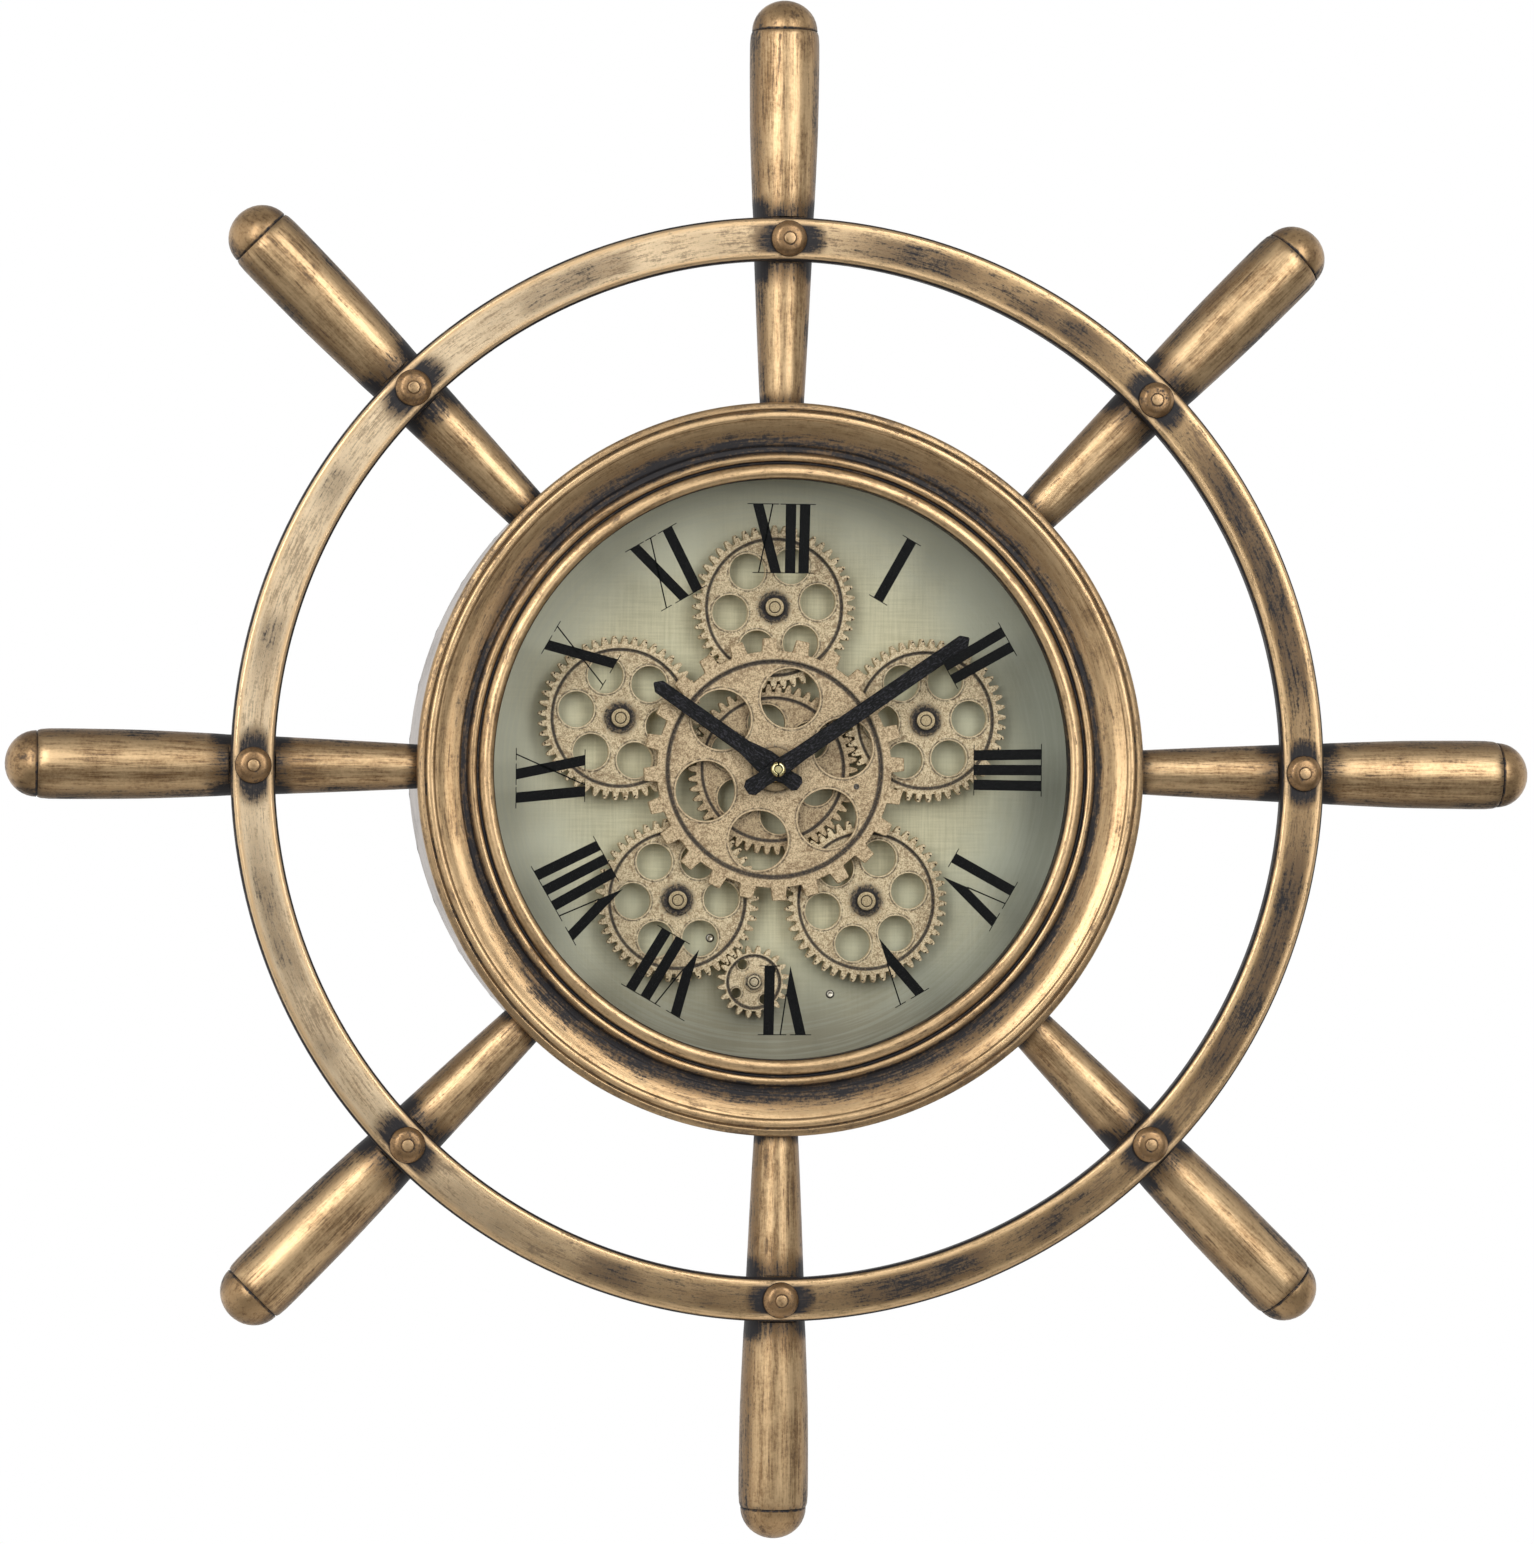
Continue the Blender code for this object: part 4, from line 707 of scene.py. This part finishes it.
def tooth(teeth, addendum, dedendum):
    """One tooth with half a gap on each side, from its flank's involute."""
    pitch = MODULE * teeth / 2
    base = pitch * math.cos(PRESSURE)
    half = math.pi / (2 * teeth) - BACKLASH / (2 * pitch)

    def flank(radius):
        pressure = math.acos(min(1, base / radius))
        return half + (math.tan(PRESSURE) - PRESSURE) - (math.tan(pressure) - pressure)

    root, tip = pitch - dedendum, pitch + addendum
    radii = [root + (tip - root) * share for share in (0, 0.3, 0.5, 0.7, 0.85, 1)]
    return both_flanks([(root, math.pi / teeth), *((radius, flank(radius)) for radius in radii)])


def stub_tooth():
    """One of the front gear's short teeth, straight sided."""
    pitch = math.tau / FRONT_TEETH
    return both_flanks([(46.5, pitch / 2), (46.5, pitch * 0.26), (47.2, pitch * 0.245),
                        (51.2, pitch * 0.195), (51.6, pitch * 0.175)])


def toothed_loop(bm, shape, teeth):
    """The gear's outline: one tooth carried round, and its ends joined."""
    corners = [bm.verts.new((radius * math.cos(angle), radius * math.sin(angle), 0))
               for radius, angle in shape]
    sides = [bm.edges.new(pair) for pair in zip(corners, corners[1:])]
    bmesh.ops.spin(bm, geom=corners + sides, angle=math.tau, steps=teeth, axis=(0, 0, 1),
                   cent=(0, 0, 0), use_duplicate=True)
    bmesh.ops.remove_doubles(bm, verts=bm.verts, dist=0.001)


def round_loop(bm, radius, sides, spot=(0, 0)):
    bmesh.ops.create_circle(bm, cap_ends=False, segments=sides, radius=radius,
                            matrix=Matrix.Translation((*spot, 0)))


def slab(bm, low, high):
    """Fills the flat shape inside the first loop and outside the others, and raises it."""
    bmesh.ops.triangle_fill(bm, use_beauty=True, edges=bm.edges[:])
    bmesh.ops.translate(bm, vec=(0, 0, low), verts=bm.verts)
    pull_up(bm, bm.faces[:], high - low)
    bmesh.ops.recalc_face_normals(bm, faces=bm.faces)
    return bm


def together(*parts):
    """Several closed meshes as one."""
    whole = parts[0]
    for part in parts[1:]:
        carried = bpy.data.meshes.new("part")
        part.to_mesh(carried)
        part.free()
        whole.from_mesh(carried)
        bpy.data.meshes.remove(carried)
    return whole


def spot_at(orbit, way):
    return orbit * math.cos(way), orbit * math.sin(way)


def cut_gear(shape, teeth, thickness, web_edge, hub, bore, boss, windows):
    """A gear: toothed rim, sunk web with round windows and their lips, hub and boss."""
    count, orbit, hole, lip, turned_by = windows
    spots = [spot_at(orbit, turned_by + math.tau * index / count) for index in range(count)]
    toothed, web, web_face = bmesh.new(), bmesh.new(), thickness - WEB_RECESS
    toothed_loop(toothed, shape, teeth)
    round_loop(toothed, web_edge, 120)
    round_loop(web, web_edge + 0.3, 120)
    round_loop(web, hub - 0.3, 48)
    for spot in spots:
        round_loop(web, hole, 40, spot)
    parts = [slab(toothed, 0, thickness), slab(web, 0.05, web_face),
             turned([(bore, -boss), (hub, -boss, 0.15), (hub, thickness, 0.25), (bore, thickness, 0.2)], 48)]
    for spot in spots:
        ring = turned([(hole - 0.05, web_face - 0.3), (hole + lip, web_face - 0.3),
                       (hole + lip, web_face + 0.22, 0.15), (hole - 0.05, web_face + 0.22, 0.15)], 40)
        bmesh.ops.translate(ring, vec=(*spot, 0), verts=ring.verts)
        parts.append(ring)
    return together(*parts)


def gear_gold(name, web_edge, hub, pale, deep, windows, wide=0.9):
    """Sandy gold paint with dark patina round the hub, dark lines at the web's edge and round the
    windows' lips that are partly patina and partly painted shadow, and a painted highlight on the lips.
    """
    count, orbit, hole, lip, turned_by = windows
    material, start = new_finish(name)
    lay = own_place(start)
    place = lay.shifted(*lot_shift(start, 37.3, 11.9))
    radius = lay.stretch(1, 1, 0).length()
    right, up, _ = lay.parts()
    sand = place.noise(1.9, 4.0, 0.75)
    cloud = place.noise(0.16, 3.0, 0.6)
    worms = place.noise(0.75, 5.0, 0.7)
    fold = from_nearest(right, up, count, turned_by)
    from_hole = (radius * radius + orbit * orbit
                 - radius * (2 * orbit) * start.sum("COSINE", fold)).root() - (hole + lip)
    # Partly patina and partly painted shadow: dark lines in the creases at the web's edge and round the
    # windows' lips.
    seam = abs(radius - web_edge + 0.3).ease(1.1 * wide, 0.4 * wide) * 0.95
    lip_line = abs(from_hole - 0.15).ease(0.5, 0.1) * 0.6
    smoke = radius.ease(hub + 3.6, hub - 2.6)
    on_web = radius.ease(web_edge + 0.2, web_edge - 0.2)
    soil = on_web * radius.ease(web_edge - 9.0, web_edge) * cloud.ease(0.62, 0.42)
    blots = (worms * 0.6 + cloud * 0.5).ease(0.50, 0.40)
    colour = (sand * 0.65 + worms * 0.35).ease(0.42, 0.56).blend(deep, pale)
    colour = (blots * 0.6).most(soil * worms.ease(0.6, 0.42) * 0.7).blend(colour, paint(128, 103, 72))
    # Painted highlight: the windows' raised lips are paler.
    colour = (from_hole.ease(0.0, -0.2) * on_web * 0.4).blend(colour, pale)
    dark = (smoke * 1.2 + (worms * 0.6 + sand * 0.6 - 0.6) * 3.2).ease(0.25, 1.05) * smoke.ease(0.02, 0.2)
    dark = dark.most(seam * sand.ease(0.3, 0.5), lip_line * on_web * worms.ease(0.66, 0.44))
    colour = dark.blend(colour, paint(36, 31, 30))
    lay_on(material, {"Base Color": colour, "Roughness": 0.52 + 0.2 * dark + (sand - 0.5) * 0.2,
                      "Metallic": 0.25 - 0.2 * dark}, sand * 0.5 + worms * 0.5, 0.00012)
    return material


def put_flat(name, bm, at, material, body, slot, node, broken=0.15):
    """A piece cut from sheet, with a fine broken edge, as deburring leaves."""
    item = put(name, bm, at, material, body, slot, node, sharp=30)
    edge = item.modifiers.new("broken_edge", "BEVEL")
    edge.width, edge.segments, edge.limit_method = broken / 1000, 1, "ANGLE"
    edge.angle_limit = math.radians(42)


def turn_in_mesh(way, driver_turn, driver_teeth, teeth):
    """How far a gear is turned so that its gaps take the driver's teeth."""
    return way + math.pi + (way - driver_turn) * driver_teeth / teeth + math.pi / teeth


sun_gold = gear_gold("sun_gold", SUN_ROOT - GEAR_RIM, CENTRE_HUB, paint(200, 178, 140),
                     paint(126, 104, 76), SUN_WINDOWS)
idler_gold = gear_gold("idler_gold", IDLER_ROOT - GEAR_RIM, IDLER_HUB, paint(230, 212, 174),
                       paint(156, 132, 96), IDLER_WINDOWS)
front_gold = gear_gold("front_gold", FRONT_WEB_EDGE, CENTRE_HUB, paint(222, 199, 160),
                       paint(146, 121, 87), FRONT_WINDOWS, 1.3)

sun = cut_gear(tooth(SUN_TEETH, ADDENDUM, DEDENDUM), SUN_TEETH, GEAR_THICKNESS, SUN_ROOT - GEAR_RIM,
               CENTRE_HUB, CENTRE_BORE, SUN_BOSS, SUN_WINDOWS)
keep_lay(sun, 7)
put_flat("sun_gear_cut", sun, placed(level=GEAR_LEVEL), sun_gold, "centre_gears", "sun_gold", "sun_gear")

front = cut_gear(stub_tooth(), FRONT_TEETH, FRONT_THICKNESS, FRONT_WEB_EDGE, CENTRE_HUB, CENTRE_BORE,
                 FRONT_BOSS, FRONT_WINDOWS)
keep_lay(front, 9)
put_flat("front_gear_cut", front, placed(level=FRONT_LEVEL, turn=FRONT_TURN), front_gold,
         "centre_gears", "front_gold", "front_gear", 0.22)
DOWEL_SPOT, DOWEL_RADIUS, DOWEL_FOOT = spot_at(33.3, math.radians(-11.3)), 1.15, 46.72
dowel = turned([(0, DOWEL_FOOT), (DOWEL_RADIUS, DOWEL_FOOT), (DOWEL_RADIUS, 46.9, 0.05), (0.8, 46.95),
                (0.5, 46.85), (0, 46.8)], 20)
put("front_gear_dowel", dowel, placed(DOWEL_SPOT), black_steel, "centre_gears", "hand_black")

idler_turns = [turn_in_mesh(way, 0, SUN_TEETH, IDLER_TEETH) + math.tau * spare / IDLER_TEETH
               for way, spare in zip(IDLER_WAYS, IDLER_SPARES)]
for number, (way, turn) in enumerate(zip(IDLER_WAYS, idler_turns)):
    idler = cut_gear(tooth(IDLER_TEETH, ADDENDUM, DEDENDUM), IDLER_TEETH, GEAR_THICKNESS,
                     IDLER_ROOT - GEAR_RIM, IDLER_HUB, IDLER_BORE, IDLER_BOSS, IDLER_WINDOWS)
    keep_lay(idler, number)
    put_flat(f"idler_gear_cut_{number + 1}", idler, placed(spot_at(IDLER_ORBIT, way), GEAR_LEVEL, turn),
             idler_gold, f"idler_{number + 1}", "idler_gold", f"idler_gear_{number + 1}")


# The pinion, a small gear of twenty teeth, cut from the same steel and painted a paler gold.
# It is fixed on the motor's shaft and drives the train through one of the idlers.

PINION_TEETH, PINION_ADDENDUM, PINION_DEDENDUM = 20, 1.3, 1.5
PINION_WEB_EDGE, PINION_HUB, PINION_BORE, PINION_BOSS = 10.6, 4.0, 2.3, 2.0
# The radius that its paint is dark about, and the idler that it drives and from where
PINION_SMOKE, PINION_DRIVES, PINION_WAY = 2.8, 2, math.radians(-46.4)

driven = spot_at(IDLER_ORBIT, IDLER_WAYS[PINION_DRIVES])
beyond = spot_at(MODULE * (IDLER_TEETH + PINION_TEETH) / 2, PINION_WAY)
PINION_SPOT = (driven[0] + beyond[0], driven[1] + beyond[1])
pinion_turn = turn_in_mesh(PINION_WAY, idler_turns[PINION_DRIVES], IDLER_TEETH, PINION_TEETH)
PINION_WINDOWS = (4, 8.1, 2.1, 0.35, math.radians(33) - pinion_turn)
pinion_gold = gear_gold("pinion_gold", PINION_WEB_EDGE, PINION_SMOKE, paint(236, 218, 180),
                        paint(172, 148, 112), PINION_WINDOWS)
pinion = cut_gear(tooth(PINION_TEETH, PINION_ADDENDUM, PINION_DEDENDUM), PINION_TEETH, GEAR_THICKNESS,
                  PINION_WEB_EDGE, PINION_HUB, PINION_BORE, PINION_BOSS, PINION_WINDOWS)
keep_lay(pinion, 11)
put_flat("pinion_cut", pinion, placed(PINION_SPOT, GEAR_LEVEL, pinion_turn), pinion_gold, "pinion",
         "pinion_gold", "drive_pinion", 0.12)


# The pins and collars: a headed steel pin for each idler, the motor's shaft, the washer, and
# in brass the sleeve that the centre gears turn on, the dial's nut and the hour hand's tube.

PIN_RADIUS, PIN_HEAD, PIN_BACK, PIN_FRONT = 2.5, 3.74, 29.8, 44.5
SHAFT_RADIUS, SHAFT_HEAD, SHAFT_BACK, SHAFT_FRONT = 2.0, 2.8, 26.0, 44.3
HEAD_LEVEL = 43.3
SLEEVE_BORE, SLEEVE_RADIUS, SLEEVE_BACK, SLEEVE_FRONT = 3.3, 5.0, 33.8, 50.3
WASHER_RADIUS, WASHER_BACK, WASHER_FRONT = 8.8, 47.8, 48.8

pin_steel, start = new_finish("pin_steel")
lay = own_place(start)
pin_radius = lay.stretch(1, 1, 0).length()
speck = lay.noise(1.8, 4.0, 0.7)
ring_line = abs(pin_radius - 2.15).ease(0.35, 0.1)
colour = speck.ease(0.35, 0.65).blend(paint(150, 132, 100), paint(196, 178, 142))
colour = (ring_line * 0.8).most(pin_radius.ease(3.45, 3.75) * 0.8).blend(colour, paint(58, 50, 42))
lay_on(pin_steel, {"Base Color": colour, "Roughness": 0.34 + speck * 0.2,
                   "Metallic": 0.8 - 0.3 * ring_line}, speck, 0.00005)
for number, way in enumerate(IDLER_WAYS, start=1):
    pin = turned([(0, PIN_BACK), (PIN_RADIUS, PIN_BACK, 0.3), (PIN_RADIUS, HEAD_LEVEL),
                  (PIN_HEAD, HEAD_LEVEL, 0.15), (PIN_HEAD, PIN_FRONT, 0.35), (2.4, 44.45), (2.15, 44.2),
                  (1.95, 44.45), (0, PIN_FRONT)], 40)
    keep_lay(pin)
    put(f"idler_pin_{number}", pin, placed(spot_at(IDLER_ORBIT, way)), pin_steel, "clock_case",
        "post_steel", f"idler_post_{number}")

shaft_steel, start = new_finish("shaft_steel", Metallic=0.9)
lay = own_place(start)
shaft_radius = lay.stretch(1, 1, 0).length()
speck = lay.noise(2.0, 4.0, 0.7)
bands = abs(shaft_radius - 1.75).ease(0.3, 0.1).most(shaft_radius.ease(2.5, 2.8))
colour = speck.ease(0.35, 0.65).blend(paint(170, 154, 124), paint(214, 200, 170))
colour = bands.blend(colour, paint(52, 46, 42))
lay_on(shaft_steel, {"Base Color": colour, "Roughness": 0.3 + speck * 0.2}, speck, 0.00004)
shaft = turned([(0, SHAFT_BACK), (SHAFT_RADIUS, SHAFT_BACK, 0.2), (SHAFT_RADIUS, HEAD_LEVEL),
                (SHAFT_HEAD, HEAD_LEVEL, 0.1), (SHAFT_HEAD, SHAFT_FRONT, 0.25), (1.9, 44.25),
                (1.75, 43.9), (1.55, 44.2), (0, SHAFT_FRONT)], 32)
keep_lay(shaft)
put("motor_shaft_turned", shaft, placed(PINION_SPOT), shaft_steel, "pinion", "shaft_steel", "motor_shaft")

brass = speckled("works_brass", (1.4, 4.0, 0.65), (0.3, 0.7), paint(176, 142, 86),
                 paint(222, 192, 130), 0.24, 0.00003, Metallic=0.95)
recoat("dial_nut", brass)
recoat("hour_tube", brass)
sleeve = turned([(SLEEVE_BORE, SLEEVE_BACK), (SLEEVE_RADIUS, SLEEVE_BACK, 0.3),
                 (SLEEVE_RADIUS, SLEEVE_FRONT, 0.3), (SLEEVE_BORE, SLEEVE_FRONT, 0.2)], 48)
put("sleeve_turned", sleeve, Matrix(), brass, "clock_case", "works_brass", "centre_sleeve")

washer_bronze, start = new_finish("washer_bronze", Metallic=0.6)
place = clock_place(start)
speck = place.noise(1.6, 4.0, 0.7)
outer_edge = place.stretch(1, 0, 1).length().ease(8.2, 8.8) * 0.45
colour = speck.ease(0.3, 0.66).blend(paint(112, 95, 70), paint(176, 154, 118))
colour = outer_edge.blend(colour, paint(50, 44, 38))
lay_on(washer_bronze, {"Base Color": colour, "Roughness": 0.4 + speck * 0.25}, speck, 0.00005)
washer = turned([(CENTRE_BORE, WASHER_BACK), (WASHER_RADIUS, WASHER_BACK, 0.2),
                 (WASHER_RADIUS, WASHER_FRONT, 0.4), (CENTRE_BORE, WASHER_FRONT, 0.2)], 64)
put("washer_turned", washer, Matrix(), washer_bronze, "clock_case", "washer_bronze", "gear_washer")


# The hands. Cut from steel sheet and painted matt black, with a grained face, blunt
# pointed tips and short flared tails. The hour hand is pressed on its tube.

# The minute hand's degrees past twelve, at nine minutes past ten
MINUTE_DEGREES, HAND_THICKNESS = 55.38, 1.0
HOUR_WAY = math.radians(90 - 300 - MINUTE_DEGREES / 12)
MINUTE_WAY = math.radians(90 - MINUTE_DEGREES)
# Each hand's length, tail, width, hub, bore and level
HOUR_SIZES = (59.0, 11.5, 6.0, 9.6, 3.3, 51.0)
MINUTE_SIZES = (92.0, 14.8, 6.2, 7.0, 1.7, 54.5)

hand_black, start = new_finish("hand_black", Specular_IOR_Level=0.18)
lay = own_place(start)
grain = lay.stretch(0.5, 1.3, 1.0).noise(1.3, 4.0, 0.65)
speck = lay.noise(3.0, 3.0, 0.7)
# The paler flecks of the grain are partly painted highlight, as light on its crinkle.
lay_on(hand_black, {"Base Color": grain.ease(0.49, 0.64).blend(paint(4, 4, 6), paint(52, 50, 56)),
                    "Roughness": 0.38 + speck * 0.25}, grain * 0.6 + speck * 0.4, 0.0003)


def hand(length, tail, width, hub, bore, low):
    """A hand along X: its outline on one side, mirrored, raised to its thickness."""
    side = [(-tail, 0.30 * width), (-0.86 * tail, 0.56 * width), (-0.45 * tail, 0.50 * width),
            (0, hub / 2), (0.6 * hub, hub / 2), (1.6 * hub, width / 2),
            (length - 0.42 * width, 0.46 * width), (length - 0.04 * width, 0.08 * width), (length, 0)]
    bm = bmesh.new()
    corners = [bm.verts.new((x, y, 0)) for x, y in [(x, -y) for x, y in side] + side[-2::-1]]
    for pair in zip(corners, corners[1:] + corners[:1]):
        bm.edges.new(pair)
    round_loop(bm, bore, 32)
    return slab(bm, low, low + HAND_THICKNESS)


for name, body, node, way, sizes in (
        ("hour_hand_cut", "hour", "hour_hand", HOUR_WAY, HOUR_SIZES),
        ("minute_hand_cut", "minute", "minute_hand", MINUTE_WAY, MINUTE_SIZES)):
    bm = hand(*sizes)
    keep_lay(bm)
    put_flat(name, bm, placed(turn=way), hand_black, body, "hand_black", node, 0.28)


# The hand nut, a small polished brass nut, and the minute hand's arbor inside it, whose end
# has the same finish. Its driver's slot is not cut but painted on, a dark line of painted
# shade with a sunk bump.

NUT_BORE, NUT_RADIUS, NUT_BACK, NUT_FRONT = 1.7, 2.9, 55.8, 58.0

nut_brass, start = new_finish("hand_nut_brass", Metallic=1.0)
lay = own_place(start)
right, _, _ = lay.parts()
# Painted shade: the driver's slot is a dark painted line with a sunk bump, not cut in the nut.
slot = abs(right).ease(0.5, 0.3) * lay.stretch(1, 1, 0).length().ease(1.6, 1.8)
speck = lay.noise(1.5, 4.0, 0.7)
colour = speck.ease(0.3, 0.7).blend(paint(226, 206, 130), paint(250, 242, 196))
colour = slot.blend(colour, paint(46, 38, 22))
lay_on(nut_brass, {"Base Color": colour, "Roughness": 0.12 + speck * 0.18}, speck - slot, 0.00003)
nut = turned([(NUT_BORE, NUT_BACK), (NUT_RADIUS, NUT_BACK, 0.1), (NUT_RADIUS, 57.4, 0.3),
              (2.3, NUT_FRONT, 0.3), (NUT_BORE, NUT_FRONT, 0.1)], 48)
keep_lay(nut)
put("hand_nut_turned", nut, Matrix(), nut_brass, "minute", "hand_nut_brass", "hand_nut")
recoat("minute_arbor", nut_brass)


# The works behind the dial: a clock movement and a gear motor in plastic cases, each
# with its battery, and the red knob that sets the hands.

CELL_RADIUS, CELL_HALF, CELL_SHOULDER, CELL_CAP, CELL_LEVEL = 7.1, 25.25, 23.95, 2.7, 23.7


def moulded(name, dark, light, roughness):
    """Moulded plastic with a spark eroded grain."""
    material, start = new_finish(name)
    place = clock_place(start)
    pores = place.noise(3.2, 2.0, 0.6)
    cloud = place.noise(0.12, 3.0, 0.5)
    lay_on(material, {"Base Color": (pores * 0.5 + cloud * 0.5).ease(0.35, 0.65).blend(dark, light),
                      "Roughness": roughness + pores * 0.15}, pores, 0.00006)
    return material


recoat("clock_movement", moulded("movement_plastic", paint(26, 26, 28), paint(42, 42, 44), 0.4))
recoat("gear_motor", moulded("motor_plastic", paint(214, 212, 206), paint(228, 227, 222), 0.38))
recoat("time_set_knob", moulded("knob_plastic", paint(150, 30, 24), paint(176, 42, 34), 0.34))

cell_wrap, start = new_finish("cell_wrap")
lay = own_place(start)
_, _, along = lay.parts()
scuff = lay.stretch(0.4, 0.4, 0.1).noise(1.0, 4.0, 0.65)
bare = along.ease(23.6, 23.9).most(along.ease(-24.8, -25.0))
band = along.ease(12.0, 12.3)
colour = band.blend(paint(62, 68, 78), paint(176, 138, 84))
colour = (scuff.ease(0.5, 0.75) * 0.3).blend(colour, paint(120, 124, 130))
colour = bare.blend(colour, paint(206, 206, 204))
lay_on(cell_wrap, {"Base Color": colour, "Roughness": 0.3 + scuff * 0.15, "Metallic": 0.3 + 0.65 * bare},
       scuff, 0.00002)
for name, spot in (("clock_battery", (0, -17)), ("motor_battery", (PINION_SPOT[0], PINION_SPOT[1] - 11))):
    cell = turned([(0, -CELL_HALF), (6.3, -CELL_HALF), (CELL_RADIUS, -25.0, 0.5),
                   (CELL_RADIUS, CELL_SHOULDER, 0.5), (CELL_CAP, CELL_SHOULDER), (CELL_CAP, CELL_HALF, 0.3),
                   (0, CELL_HALF)], 48)
    keep_lay(cell)
    put(f"{name}_cell", cell, placed(spot, CELL_LEVEL) @ Matrix.Rotation(math.pi / 2, 4, "Y"), cell_wrap,
        "clock_case", "battery_wrap", name)


# The rear cover, pressed from steel sheet and powder coated. It laps the drum's back edge
# and has a keyhole for the wall screw, a hatch for each battery and a port for the knob.

cover_coat, start = new_finish("cover_coat", Metallic=0.1)
place = clock_place(start)
orange_peel = place.noise(1.2, 3.0, 0.6)
dust = place.noise(0.03, 4.0, 0.6)
dusty = (orange_peel * 0.4 + dust * 0.6).ease(0.35, 0.68)
lay_on(cover_coat, {"Base Color": dusty.blend(paint(44, 43, 43), paint(66, 64, 62)),
                    "Roughness": 0.5 + orange_peel * 0.15}, orange_peel, 0.00009)
recoat("rear_cover", cover_coat)
